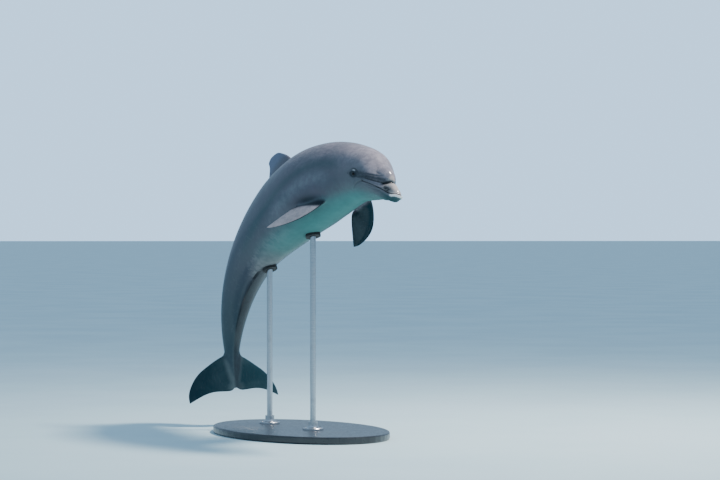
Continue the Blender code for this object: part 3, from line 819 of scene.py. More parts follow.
class SurfaceDetail:
    """Everything that is pressed into or raised from the smooth body, along its normals."""

    def __init__(self, form: BodyForm, percent: float, eye: Triple) -> None:
        """Takes the body's form and size, and where the eye is.

        Args:
            form: the body's form.
            percent: the metres in a percent of the length.
            eye: the eye's middle in body coordinates.
        """
        self.form = form
        self.mm = percent * 1000
        self.eye = eye
        self.mouth = MouthForm()
        self.lids = EyeForm()
        self.cheek = CheekForm()
        self.blowhole = BlowholeForm()
        self.belly = BellyForm()
        self.mouth_line = smooth_line(self.mouth.line, 0.25)

    # ---- where points lie
    def mouth_offset(self, p: Array) -> Array:
        """Height above the mouth line, in millimetres."""
        return (p[..., 2] - self.mouth_line(p[..., 0])) * self.mm

    def mouth_reach(self, p: Array) -> Array:
        """1 along the mouth, falling to 0 past its corner."""
        return 1 - ramp(p[..., 0], self.mouth.corner - 0.25, self.mouth.corner + 0.12)

    def melon_apart(self, p: Array) -> Array:
        """0 where the melon meets the beak, growing toward the beak, in percent."""
        return self.form.melon(p) - self.form.trunk(p)

    def eye_offset(self, p: Array) -> tuple[Array, Array]:
        """Millimetres ahead of and above the eye opening's middle, along the tilted opening.

        Args:
            p: body coordinates.

        Returns:
            The two distances.
        """
        ahead = -(p[..., 0] - self.eye[0]) * self.mm - self.lids.ahead
        above = (p[..., 2] - self.eye[2]) * self.mm - self.lids.above
        c, s = math.cos(self.lids.tilt), math.sin(self.lids.tilt)
        return ahead * c - above * s, above * c + ahead * s

    def eye_arch(self, ahead: Array, above: Array) -> Array:
        """Height over the eye, measured along arches like its upper lid."""
        return above + 0.012 * (ahead - 1) ** 2

    def eye_ring(self, ahead: Array, above: Array) -> Array:
        """0 at the eye's middle, 1 at the lids' edges, growing outward."""
        height = np.where(above > 0, self.lids.upper_height, self.lids.lower_height)
        return (np.abs(ahead / self.lids.half_length) ** 1.9 + np.abs(above / height) ** 2) ** 0.5

    def ear_away(self, ahead: Array, above: Array) -> Array:
        """Millimetres from the ear's middle."""
        return np.hypot(ahead - self.lids.ear[0], above - self.lids.ear[1])

    def blowhole_offset(self, p: Array) -> tuple[Array, Array, Array]:
        """Millimetres behind the blowhole's middle, out from it, and behind its curved slit."""
        back = (p[..., 0] - self.blowhole.station) * self.mm
        out = p[..., 1] * self.mm
        return back, out, back + self.blowhole.sweep * (out / self.blowhole.half_width) ** 2 - 2

    def melon_arc(self, p: Array) -> tuple[Array, Array]:
        """The curved fold on the melon's side.

        Args:
            p: body coordinates.

        Returns:
            Its furrow and the ridge inside it, each from 0 to 1.
        """
        path = np.array(self.cheek.melon_arc)
        place = np.stack([p[..., 0], p[..., 2]], -1)[..., None, :]
        start, way = path[:-1], np.diff(path, axis=0)
        part = np.clip(((place - start) * way).sum(-1) / (way**2).sum(-1), 0, 1)
        away = np.linalg.norm(place - (start + part[..., None] * way), axis=-1).min(-1) * self.mm
        middle = self.cheek.arc_middle
        inside = np.hypot(p[..., 0] - middle[0], p[..., 2] - middle[1]) * self.mm
        on_side = ramp(np.abs(p[..., 1]), 0.8, 1.5)
        return bell(away, 4.6) * on_side, bell(inside - 12, 7) * bell(away, 14) * on_side

    # ---- what is pressed in or raised, in millimetres
    def pressed_mouth(self, p: Array) -> Array:
        """The mouth's groove, its lips, and the dimple at its corner.

        Args:
            p: body coordinates.

        Returns:
            The height at each point, in millimetres.
        """
        s, off, along, mouth = p[..., 0], self.mouth_offset(p), self.mouth_reach(p), self.mouth
        depth = smooth_line(mouth.groove_depth, 0.3)(s)
        groove = -depth * bell(off, smooth_line(mouth.groove_width, 0.3)(s)) * along
        under = mouth.lower_lip * between(-off, 0.4, 3.2, 8, 24) * (1 - ramp(s, 0.4, 2.2))
        behind = (s - mouth.corner) * self.mm
        corner = mouth.corner_dimple.at(np.hypot(behind, off)) + mouth.corner_swell.at(behind, off)
        return groove + mouth.lips.at(np.abs(off)) * along + under + corner

    def pressed_crease(self, p: Array) -> Array:
        """The crease under the melon, the folds of the cheek and the fold on the melon's side.

        Args:
            p: body coordinates.

        Returns:
            The height at each point, in millimetres.
        """
        width = 0.2 + 0.16 * ramp(np.abs(p[..., 1]), 0.2, 1.4)
        crease = bell(self.melon_apart(p), width) * (1 - ramp(p[..., 0], 4.7, 5.6))
        total = -self.mouth.crease_depth * crease * ramp(self.mouth_offset(p), 6, 16)
        for fold in self.cheek.folds:
            furrow, ridge = fold.shape(p, self.mm)
            total = total - fold.depth * furrow + fold.rise * ridge
        furrow, ridge = self.melon_arc(p)
        return total - self.cheek.arc_depth * furrow + self.cheek.arc_rise * ridge

    def pressed_eye(self, p: Array) -> Array:
        """The cup that the eyeball fills, the lids that follow the ball and the folds round them.

        Args:
            p: body coordinates.

        Returns:
            The height at each point, in millimetres.
        """
        lids = self.lids
        ahead, above = self.eye_offset(p)
        ring, arch = self.eye_ring(ahead, above), self.eye_arch(ahead, above)
        away = np.hypot(ahead, above)
        outside = ramp(ring, 0.9, 1.02)
        ball = np.sqrt(np.maximum(lids.ball_radius**2 - away**2, 0)) - lids.ball_depth
        thickness = lids.lid_thickness + lids.upper_lid_thickness * ramp(above, -3, 4)
        lid = (np.maximum(ball, -0.4) + thickness) * outside * (1 - ramp(ring, 1.3, 2.4))
        folds = sum(fold.at(arch, ahead) for fold in (lids.brow_bulge, lids.brow_fold, lids.upper_fold))
        folds = folds + lids.lower_fold.at(above - 0.010 * ahead**2, ahead)
        folds = folds + lids.corners.at(np.abs(ahead), above)
        total = lid - lids.cup_depth * (1 - outside) + folds * outside
        return total * (1 - ramp(away, *lids.reach)) + lids.ear_hole.at(self.ear_away(ahead, above))

    def pressed_blowhole(self, p: Array) -> Array:
        """The crescent slit, its raised rim and the plug ahead of it.

        Args:
            p: body coordinates.

        Returns:
            The height at each point, in millimetres.
        """
        hole = self.blowhole
        back, out, off = self.blowhole_offset(p)
        across = np.sqrt(np.clip(1 - (out / hole.half_width) ** 2, 0, 1))
        plug = hole.plug.at(np.hypot(back + 7, out * 0.9))
        hollow = hole.hollow.at(np.hypot(back + 2, out))
        return ((hole.slit.at(off) + hole.rim.at(off)) * across + plug + hollow) * ramp(p[..., 2], 2, 4)

    def pressed_belly(self, p: Array) -> Array:
        """The navel, the genital slit and the anus along the belly's middle.

        Args:
            p: body coordinates.

        Returns:
            The height at each point, in millimetres.
        """
        s, out, belly = p[..., 0], p[..., 1] * self.mm, self.belly
        navel = belly.navel.at(np.hypot((s - belly.navel_station) * self.mm * 0.5, out))
        slit = belly.slit.at(out) * between(s, *belly.slit_ends)
        lips = belly.slit_lips.at(np.abs(out)) * between(s, 64, 65.6, 68, 69.5)
        anus = belly.anus.at(np.hypot((s - belly.anus_station) * self.mm * 0.6, out))
        return (navel + slit + lips + anus) * ramp(-p[..., 2], 1, 2)

    def pressed_rolls(self, p: Array) -> Array:
        """Soft rolls where the neck bends, and the swell of muscle along the flank and tail stock.

        Args:
            p: body coordinates.

        Returns:
            The height at each point, in millimetres.
        """
        s, up = p[..., 0], p[..., 2]
        rolls = 0.0
        for station, depth, width in self.belly.neck_rolls:
            rolls = rolls - depth * bell(s - station - 0.25 * up, width)
        return rolls * ramp(-up, 0.5, 3) + self.belly.flank.at(up) * between(s, 52, 66, 78, 90)

    def height(self, p: Array) -> Array:
        """All the detail together, in metres along the normal."""
        parts = (self.pressed_mouth, self.pressed_crease, self.pressed_eye, self.pressed_blowhole)
        return sum(part(p) for part in (*parts, self.pressed_belly, self.pressed_rolls)) * 0.001


# ---------------------------------------------------------------- markings
def spot(along: Array, across: Array, middle: tuple[float, float], size: tuple[float, float]) -> Array:
    """1 at the middle of an oval spot, falling off over its size."""
    return bell(np.hypot((along - middle[0]) / size[0], (across - middle[1]) / size[1]))


@dataclass(frozen=True)
class MarkingForm:
    """Where the markings run along the body.

    An edge is a height as a part of the body's half height there, and a line is one in percent.
    """

    pale_edge: Rows = (
        (0, -0.6), (5, -0.72), (10, -0.8), (14, -0.82), (20, -0.82), (30, -0.86), (46, -0.92), (60, -0.94),
        (68, -1.05), (74, -1.4), (100, -1.5),
    )
    pale_spread: Rows = ((0, 0.6), (12, 0.72), (20, 0.42), (35, 0.22), (100, 0.2))
    cape_edge: Rows = (
        (0, 0.3), (6, 0.1), (12, 0.18), (20, 0.0), (32, 0.14), (50, 0.35), (62, 0.2), (75, -0.1), (100, -0.4),
    )
    stripe_low: Rows = ((4, -0.35), (5.5, -0.6), (8, -0.55), (10, -0.75), (12.4, -0.3))
    stripe_high: Rows = ((4, 0.3), (5.5, 0.5), (8, 0.75), (10, 0.65), (12.4, 0.6))
    band_line: Rows = (
        (12, 1.4), (17, 1.6), (24, 2.1), (29, 1.4), (34.6, -0.1), (42, -1.8), (48, -2.7), (56, -3.5),
        (66, -3.4),
    )


class Markings:
    """How strongly each marking, painted shade and painted highlight shows at every point of the skin, from 0
    to 1.
    """

    def __init__(self, mesh: Mesh, spine: Spine, detail: SurfaceDetail, poses: Sequence[FlipperPose]) -> None:
        """Reads where the mesh's points lie.

        Args:
            mesh: the skin.
            spine: the bent spine.
            detail: the detail pressed into the skin.
            poses: how the flippers are held.
        """
        self.form = MarkingForm()
        self.detail = detail
        self.poses = poses
        world = read(mesh.vertices, "co", 3)
        self.height = world[:, 2]
        normal = read(mesh.vertex_normals, "vector", 3, np.float32).astype(float)
        self.facing_up = ramp(normal[:, 2], -0.2, 0.25)
        self.place = spine.to_body(world)
        self.lay = self.place * spine.posture.percent
        self.beyond = detail.form.outside(self.place)
        self.fin = ramp(self.beyond, 0.25, 0.9)
        station, out, up = self.place.T
        self.side = np.abs(out)
        back, belly = detail.form.lines["back"](station), detail.form.lines["belly"](station)
        self.above_back = up - back
        self.level = np.clip((up - (back + belly) / 2) / ((back - belly) / 2), -1.2, 1.2)
        self.off = detail.mouth_offset(self.place)
        self.ahead, self.above = detail.eye_offset(self.place)
        arch = detail.eye_arch(self.ahead, self.above)
        # painted highlight on the bulge of the upper lid
        self.glint = bell(arch - 20, 2.8) * (1 - ramp(np.abs(self.ahead - 2), 4, 16))
        self.over_eye = bell(arch - 29, 3.6) * bell(self.ahead - 2, 34)

    def body(self) -> dict[str, Array]:
        """The broad tones of back, belly and tail, the bands along the flank, the painted teal reflection
        along the keel and the painted shade under the tail.

        Returns:
            The markings by name.
        """
        s, out, up = self.place.T
        form, flesh = self.form, 1 - self.fin
        pale_edge = smooth_line(form.pale_edge, 1.5)(s)
        spread = smooth_line(form.pale_spread, 1.5)(s)
        off_line = up - smooth_line(form.band_line, 1.0)(s)
        in_band = between(s, 15, 21, 54, 68) * ramp(self.side, 1, 3) * flesh
        # painted teal reflection of water along the keel, under the front of the body
        keel = (1 - ramp(self.level, -1.05, -0.66)) * (0.35 + 0.65 * ramp(s, 7, 16)) * (1 - ramp(s, 50, 64))
        # painted shade on the underside of the tail stock, on its left side only
        under_tail = ramp(s, 58, 67) * (1 - ramp(self.level, -0.4, 0.1)) * ramp(out, -0.2, 0.2)
        return {
            "pale": (1 - ramp((self.level - pale_edge) / spread, -1, 1)) * flesh,
            "cape": ramp(self.level - smooth_line(form.cape_edge, 1.5)(s), -0.4, 0.4),
            "band": bell(off_line, 1.2) * in_band,
            "light_band": bell(off_line + 3.0, 1.6) * in_band * between(s, 18, 24, 38, 50),
            "pink": spot(s, out, (57, 0), (5.5, 2.6)) * ramp(-up, 4, 6),
            "head": 1 - ramp(s, 13, 24),
            "rear": ramp(s, 34, 52),
            "tail": ramp(s, 62, 92),
            "under_tail": under_tail * flesh,
            "keel": keel * flesh,
        }

    def head(self) -> dict[str, Array]:
        """The face's stripe, the dark round the eye with painted socket shade, the tones of beak and lip, the
        painted glint over the eye and the painted shade under the chin.

        Returns:
            The markings by name.
        """
        s, _, up = self.place.T
        side, off, ahead, above = self.side, self.off, self.ahead, self.above
        low, high = (smooth_line(rows, 0.3)(s) for rows in (self.form.stripe_low, self.form.stripe_high))
        stripe = between(up, low - 0.25, low + 0.15, high - 0.35, high + 0.45)
        stripe = stripe * between(s, 3.6, 4.6, 11.6, 13.0) * ramp(side, 0.5, 1.4)
        behind = bell(above + 1, 7) * between(-ahead, 8, 16, 26, 60)
        brow = bell(above - 20 + 0.12 * np.abs(ahead - 4), 5) * bell(ahead - 4, 34)
        # dark round the eye: the dark skin there and painted shade of the sunken eye
        socket = bell(np.maximum(np.hypot(ahead / 23, (above + 1) / 13.0) - 1, 0), 0.45)
        beak_end = 4.55 + 0.25 * np.clip(1.4 - side, 0, 1.4)
        beak = (1 - ramp(s, beak_end - 0.35, beak_end + 0.2)) * ramp(off, 0, 5)
        cores = np.maximum(spot(s, up, (3.15, -1.6), (0.42, 0.24)), spot(s, up, (4.0, -1.2), (0.4, 0.2)))
        patch = 1.1 * spot(s, up, (3.1, -1.62), (1.6, 0.72)) * ramp(side, 0.5, 0.9)
        patch = patch + cores * ramp(side, 0.6, 1)
        lip = 1.6 * (1 - ramp(s, 0.8, 2.4)) * between(-off, 0.2, 2.4, 9, 17)
        return {
            "stripe": np.clip(stripe + np.clip(behind * 0.5 + brow * 0.45, 0, 1), 0, 1) * (1 - self.fin),
            # the dark round the eye with its painted shade, kept off the painted glint
            "socket": socket * (1 - 0.9 * self.glint),
            "beak": beak,
            "patch": np.clip(patch, 0, 1) * beak,
            # the white lower lip, and the painted highlight over each eye
            "lip": np.clip(lip + 0.5 * self.glint, 0, 1),
            # painted shade, with a teal water reflection, under the jaw's tip
            "chin": (1 - ramp(s, 2.5, 6)) * ramp(-off, 12, 16),
        }

    def furrows(self) -> dict[str, Array]:
        """The painted shade in the mouth line, the creases, folds, slits and holes.

        Returns:
            The markings by name.
        """
        p, detail, off, side = self.place, self.detail, self.off, self.side
        s, out, up = p.T
        groove = bell(off, 2.2) * detail.mouth_reach(p) * (0.55 + 0.45 * (1 - ramp(s, 2.2, 4.4)))
        crease = (2.4 - 1.5 * ramp(side, 0.6, 2.0)) * (1 - ramp(s, 4.8, 5.6)) * ramp(off, 8, 16)
        crease = crease * bell(detail.melon_apart(p) - 0.16, 0.3 - 0.1 * ramp(side, 0.4, 1.8))
        folds = sum(fold.shape(p, detail.mm)[0] * fold.depth for fold in detail.cheek.folds) / 3.4
        folds = 0.75 * np.clip(folds, 0, 1) + 0.28 * detail.melon_arc(p)[0] + 0.7 * self.over_eye
        _, hole_out, hole_off = detail.blowhole_offset(p)
        hole = bell(hole_off, 2.2) * ramp(up, 2, 4) * (np.abs(hole_out) < detail.blowhole.half_width)
        ear = bell(detail.ear_away(self.ahead, self.above), 2.4)
        gape = 0.8 * bell(np.hypot((s - 9.25) * 0.7, up + 1.1) * detail.mm, 5)
        slit = bell(out * detail.mm, 3.2) * between(s, *detail.belly.slit_ends) * ramp(-up, 1, 2)
        # painted shade in the furrows and holes pressed into the skin
        dark = groove + crease + np.clip(folds, 0, 1) + hole + ear + gape + slit * 0.6
        return {"dark": np.clip(dark, 0, 1)}

    def limbs(self) -> dict[str, Array]:
        """The fins, the painted sunlight on their upper faces, the painted sky blue of the dorsal fin and the
        painted shade of the armpits.

        Returns:
            The markings by name.
        """
        s, out, up = self.place.T
        side, fin = self.side, self.fin
        shadow, lit_end = 0.0, 0.0
        for pose in self.poses:
            own = out * pose.side.value > 0
            along = s - pose.root[0]
            hollow = spot(along, up - pose.root[2], (5.4, 1.0), (4.0, 0.75)) * ramp(side, 2, 3.5)
            shadow = shadow + hollow * own * (1 - ramp(self.beyond, 0.2, 0.7))
            # how much of each flipper takes the painted sunlight: the near one below a fixed height over the
            # floor, the far one faintly toward its tip
            lit = 0.25 * ramp(along, 2.4, 4.2)
            if pose.side is Side.RIGHT:
                shadow = shadow + ramp(self.height, 1.262, 1.274) * fin * own * (1 - ramp(s, 42, 48))
                lit = 1 - ramp(self.height, 1.259, 1.270)
            lit_end = lit_end + lit * own
        # painted sunlight: fin faces that point up are made pale
        sunny = ramp(self.beyond, 0.5, 1.3) * self.facing_up * (1 - ramp(s, 60, 80)) * ramp(side, 0.5, 1.5)
        return {
            "fin": fin,
            "sunny": sunny * lit_end,
            # painted sky blue on the dorsal fin, strongest toward its crest
            "dorsal": fin * (1 - ramp(side, 1.0, 2.0)) * ramp(up, 4, 8) * (1 - ramp(s, 66, 76)),
            "shadow": np.clip(shadow, 0, 1),
            "fin_crest": ramp(self.above_back, 4.5, 8.5),
        }

    def layers(self) -> dict[str, Array]:
        """Every marking by name, and the place on the unbent body, in metres."""
        return {**self.body(), **self.head(), **self.furrows(), **self.limbs(), "lay": self.lay}


# ---------------------------------------------------------------- the skin
@dataclass(frozen=True)
class GridForm:
    """How finely the skin is drawn."""

    head_half: int = 118
    cap_rings: int = 24
    head_start: float = 1.3
    head_end: float = 20
    body_end: float = 98.75
    body_spacing: float = 0.55
    head_spacing: Rows = (
        (1.3, 0.075), (3, 0.06), (5.5, 0.065), (7, 0.11), (10.6, 0.11), (11.5, 0.058), (13.8, 0.058),
        (15.5, 0.13), (20, 0.28),
    )
    lean: Rows = (
        (0, 0), (1.3, 0), (3, 0.25), (5, 0.75), (7.5, 0.8), (11, 0.45), (16, 0.1), (20, 0), (100, 0),
    )
    crowd: Rows = ((0, 2.0), (9, 2.6), (11.2, 2.3), (13.8, 2.3), (17, 0), (100, 0))
    crowd_width: Rows = ((0, 0.2), (8, 0.17), (11.3, 0.27), (14, 0.27), (100, 0.3))
    top_crowd: Rows = ((0, 0), (9, 0), (12, 1.6), (14, 1.6), (17, 0), (100, 0))


class Skin:
    """One continuous skin over the body, its fins and flukes, with its markings."""

    FLESH = (
        "head", "lower_jaw", "neck", "trunk_front", "trunk_middle", "trunk_rear", "tail_stock_front",
        "tail_stock_rear", "fluke_left", "fluke_right", "dorsal_fin", "flipper_left", "flipper_right",
    )
    SEAM_REACH = 0.034
    SEAM_SAMPLES = 1500
    SEAM_PASSES = 26
    SEAM_PULL = 0.55

    def __init__(self, spine: Spine, eye: Triple) -> None:
        """Takes the spine and where the eye is.

        Args:
            spine: the bent spine.
            eye: the eye's middle in body coordinates.
        """
        self.spine = spine
        self.form = BodyForm()
        self.fins = FinSet()
        self.grid = GridForm()
        self.eye = eye
        self.detail = SurfaceDetail(self.form, spine.posture.percent, eye)
        self.lean = smooth_line(self.grid.lean, 0.4)

    # ---- the body's grid
    def ring_rays(self, stations: Array, turns: Array) -> tuple[Array, Array]:
        """Rays of rings about the axis, leaning forward on the head.

        Args:
            stations: the rings' stations.
            turns: for each ring the angles of its points from straight up.

        Returns:
            The rays' starts and directions.
        """
        start = np.zeros((*turns.shape, 3))
        start[..., 0] = stations[:, None]
        start[..., 2] = self.form.lines["axis"](stations)[:, None]
        lean = -self.lean(stations)[:, None] * ((1 + np.cos(turns)) / 2) ** 1.5
        direction = np.stack([lean, np.sin(turns), np.cos(turns)], -1)
        return start, direction / np.linalg.norm(direction, axis=-1, keepdims=True)

    def detail_angle(self) -> Line:
        """The angle of the mouth line about the axis, and then of the eye, by station.

        Returns:
            The angle as a function of the station.
        """
        stations = np.linspace(self.grid.head_start, 9.6, 24)
        turns = np.tile(np.radians(np.linspace(55, 150, 96)), (len(stations), 1))
        below = self.detail.mouth_offset(self.form.cast(*self.ring_rays(stations, turns))) < 0
        rows = [(s, turns[k, np.argmax(below[k])]) for k, s in enumerate(stations)]
        eye_turn = math.atan2(self.eye[1] + 0.45, self.eye[2] - float(self.form.lines["axis"](self.eye[0])))
        rows = [(0.0, rows[0][1]), *rows, (self.eye[0], eye_turn), (20.0, math.pi / 2), (100.0, math.pi / 2)]
        return smooth_line(rows, 0.35)

    def turns_at(self, stations: Array, angle: Line) -> Array:
        """Angles of each ring's points, drawn closer together along the mouth, the eyes and the top.

        Args:
            stations: the rings' stations.
            angle: where the most detail lies, by station.

        Returns:
            A row of angles for each ring, all the way round.
        """
        grid = self.grid
        tables = (grid.crowd, grid.crowd_width, grid.top_crowd)
        crowd, width, top = (smooth_line(rows, 0.3)(stations)[:, None] for rows in tables)
        even = np.linspace(0, math.pi, 721)
        near = bell((even[None] - angle(stations)[:, None]) / width)
        density = 1 + crowd * near + top * bell(even, 0.22)[None]
        total = np.cumsum((density[:, 1:] + density[:, :-1]) / 2, axis=1)
        total = np.c_[np.zeros(len(stations)), total] / total[:, -1:]
        wanted = np.linspace(0, 1, grid.head_half + 1)
        half = np.array([np.interp(wanted, row, even) for row in total])
        return np.concatenate([half, 2 * math.pi - half[:, -2:0:-1]], axis=1)

    def head_stations(self) -> Array:
        """Stations of the head's rings, closer where there is more to draw.

        Returns:
            The stations.
        """
        spacing, first, last = smooth_line(self.grid.head_spacing), self.grid.head_start, self.grid.head_end
        found = [first]
        while found[-1] < last:
            found.append(found[-1] + float(spacing(found[-1])))
        found = np.array(found)
        return first + (found - first) * (last - first) / (found[-1] - first)

    def body_rings(self) -> list[Array]:
        """All the rings of the body from beak to tail, in body coordinates.

        Returns:
            The rings, the larger ones first.
        """
        grid = self.grid
        head = self.head_stations()
        head_turns = self.turns_at(head, self.detail_angle())
        open_angle = np.linspace(0, math.pi / 2, grid.cap_rings + 2)[1:-1]
        turn = head_turns[0]
        away = np.sin(open_angle)[:, None]
        ahead = -np.cos(open_angle)[:, None] + 0 * turn
        direction = np.stack([ahead, away * np.sin(turn), away * np.cos(turn)], -1)
        start = np.zeros_like(direction) + (head[0], 0, float(self.form.lines["axis"](head[0])))
        count = int((grid.body_end - grid.head_end) / grid.body_spacing)
        body = np.linspace(grid.head_end, grid.body_end, count + 1)[1:]
        body_turns = np.tile(head_turns[-1, ::2], (len(body), 1))
        rays = ((start, direction), self.ring_rays(head, head_turns), self.ring_rays(body, body_turns))
        return [ring for start, direction in rays for ring in self.form.cast(start, direction)]

    def raised(self, body_points: Sequence[Array]) -> list[Array]:
        """Carries rings into the world with their detail raised or pressed in.

        Args:
            body_points: rings of body coordinates, the larger rings first.

        Returns:
            The rings in metres.
        """
        found: list[Array] = []
        for count in sorted({len(ring) for ring in body_points}, reverse=True):
            rings = np.array([ring for ring in body_points if len(ring) == count])
            world = self.spine.to_world(rings)
            around = np.roll(world, -1, axis=1) - np.roll(world, 1, axis=1)
            normal = np.cross(np.gradient(world, axis=0), around)
            normal /= np.linalg.norm(normal, axis=-1, keepdims=True) + 1e-12
            outward = (normal * (world - world.mean(1, keepdims=True))).sum(-1, keepdims=True)
            normal *= np.sign(outward.mean())
            found += [*(world + normal * self.detail.height(rings)[..., None])]
        return found

    # ---- joining
    def joined(self) -> Mesh:
        """The body and fins as one closed mesh, with material 1 on the faces that came from fins.

        Returns:
            The mesh.
        """
        marks = [bpy.data.materials.new("from " + word) for word in ("body", "fins")]
        shapes = {"skin": loft(self.raised(self.body_rings()), None, None)}
        shapes.update(self.fins.shapes(self.spine, self.form))
        items = []
        for name, shape in shapes.items():
            mesh = shape.to_mesh(name)
            for mark in marks:
                mesh.materials.append(mark)
            if items:
                mesh.polygons.foreach_set("material_index", np.ones(len(mesh.polygons), np.int32))
            facing_out(mesh)
            items.append(new_object(name, mesh))
        for fin in items[1:]:
            join = items[0].modifiers.new(fin.name, "BOOLEAN")
            join.operation = "UNION"
            join.solver = "MANIFOLD"
            join.object = fin
        result = evaluated_mesh(items[0])
        for item in items:
            bpy.data.objects.remove(item)
        return result

    def seam_weight(self, mesh: Mesh, co: Array) -> Array:
        """How near each point is to a seam between body and fin.

        Args:
            mesh: the joined mesh.
            co: its points.

        Returns:
            1 on a seam, falling to 0 at the seams' reach.
        """
        origin = np.zeros((len(co), 2), bool)
        loops = read(mesh.loops, "vertex_index", kind=np.int64)
        sizes = read(mesh.polygons, "loop_total", kind=np.int64)
        per_loop = np.repeat(read(mesh.polygons, "material_index", kind=np.int64), sizes)
        for kind in (0, 1):
            origin[loops[per_loop == kind], kind] = True
        seam = co[origin.all(1)]
        LOG.info("seam points %d of %d", len(seam), len(co))
        away = np.full(len(co), 1.0)
        low, high = seam.min(0) - self.SEAM_REACH, seam.max(0) + self.SEAM_REACH
        near = np.where(((co > low) & (co < high)).all(1))[0]
        thin = seam[:: max(1, len(seam) // self.SEAM_SAMPLES)]
        for first in range(0, len(near), 8000):
            part = near[first : first + 8000]
            away[part] = np.sqrt(((co[part][:, None] - thin[None]) ** 2).sum(2).min(1))
        return 1 - ramp(away, self.SEAM_REACH * 0.25, self.SEAM_REACH)

    def soften_seams(self, mesh: Mesh) -> None:
        """Draws the fins' roots out of the body in smooth fillets.

        Args:
            mesh: the joined mesh.
        """
        co = read(mesh.vertices, "co", 3)
        count = len(co)
        weight = self.seam_weight(mesh, co)
        edges = read(mesh.edges, "vertices", 2, np.int64)
        a, b = edges[(weight[edges] > 0).any(1)].T
        degree = np.bincount(a, minlength=count) + np.bincount(b, minlength=count)
        degree = np.maximum(degree, 1)[:, None]
        for _ in range(self.SEAM_PASSES):
            total = np.zeros_like(co)
            for k in range(3):
                total[:, k] += np.bincount(a, co[b, k], count) + np.bincount(b, co[a, k], count)
            co += (total / degree - co) * (weight * self.SEAM_PULL)[:, None]
        mesh.vertices.foreach_set("co", co.reshape(-1))
        mesh.update()

    def build(self) -> bpy.types.Object:
        """Makes the skin, dresses it and puts it in place of the nodes of flesh.

        Returns:
            The skin.
        """
        mesh = self.joined()
        self.soften_seams(mesh)
        mesh.materials.clear()
        mesh.materials.append(SkinFinish().material())
        mesh.polygons.foreach_set("material_index", np.zeros(len(mesh.polygons), np.int32))
        mesh.name = "dolphin_skin"
        mesh.shade_smooth()
        write_layers(mesh, Markings(mesh, self.spine, self.detail, self.fins.poses).layers())
        item = new_object("dolphin_skin", mesh)
        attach(item, "root")
        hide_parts(*self.FLESH)
        mesh.calc_loop_triangles()
        LOG.info("dolphin_skin: %d triangles", len(mesh.loop_triangles))
        return item


# ---------------------------------------------------------------- node trees
class Tree:
    """A node tree with a short way to add to it."""

    def __init__(self, tree: bpy.types.NodeTree) -> None:
        """Takes the tree."""
        self.tree = tree

    def plug(self, value: object, socket: Socket) -> None:
        """Sets a socket to a number or colour, or links another socket to it.

        Args:
            value: a number, a colour or a socket.
            socket: the input.
        """
        if isinstance(value, Socket):
            self.tree.links.new(value, socket)
        else:
            socket.default_value = value

    def add(self, kind: str, inputs: dict[str | int, object], **settings: object) -> bpy.types.Node:
        """Adds a node.

        Args:
            kind: the node's type.
            inputs: for each input a number, a colour, a socket to link to it, or a list of sockets.
            settings: the node's own properties.

        Returns:
            The node.
        """
        node = self.tree.nodes.new(kind)
        for word, value in settings.items():
            setattr(node, word, value)
        for word, value in inputs.items():
            for each in value if isinstance(value, list) else [value]:
                self.plug(each, node.inputs[word])
        return node


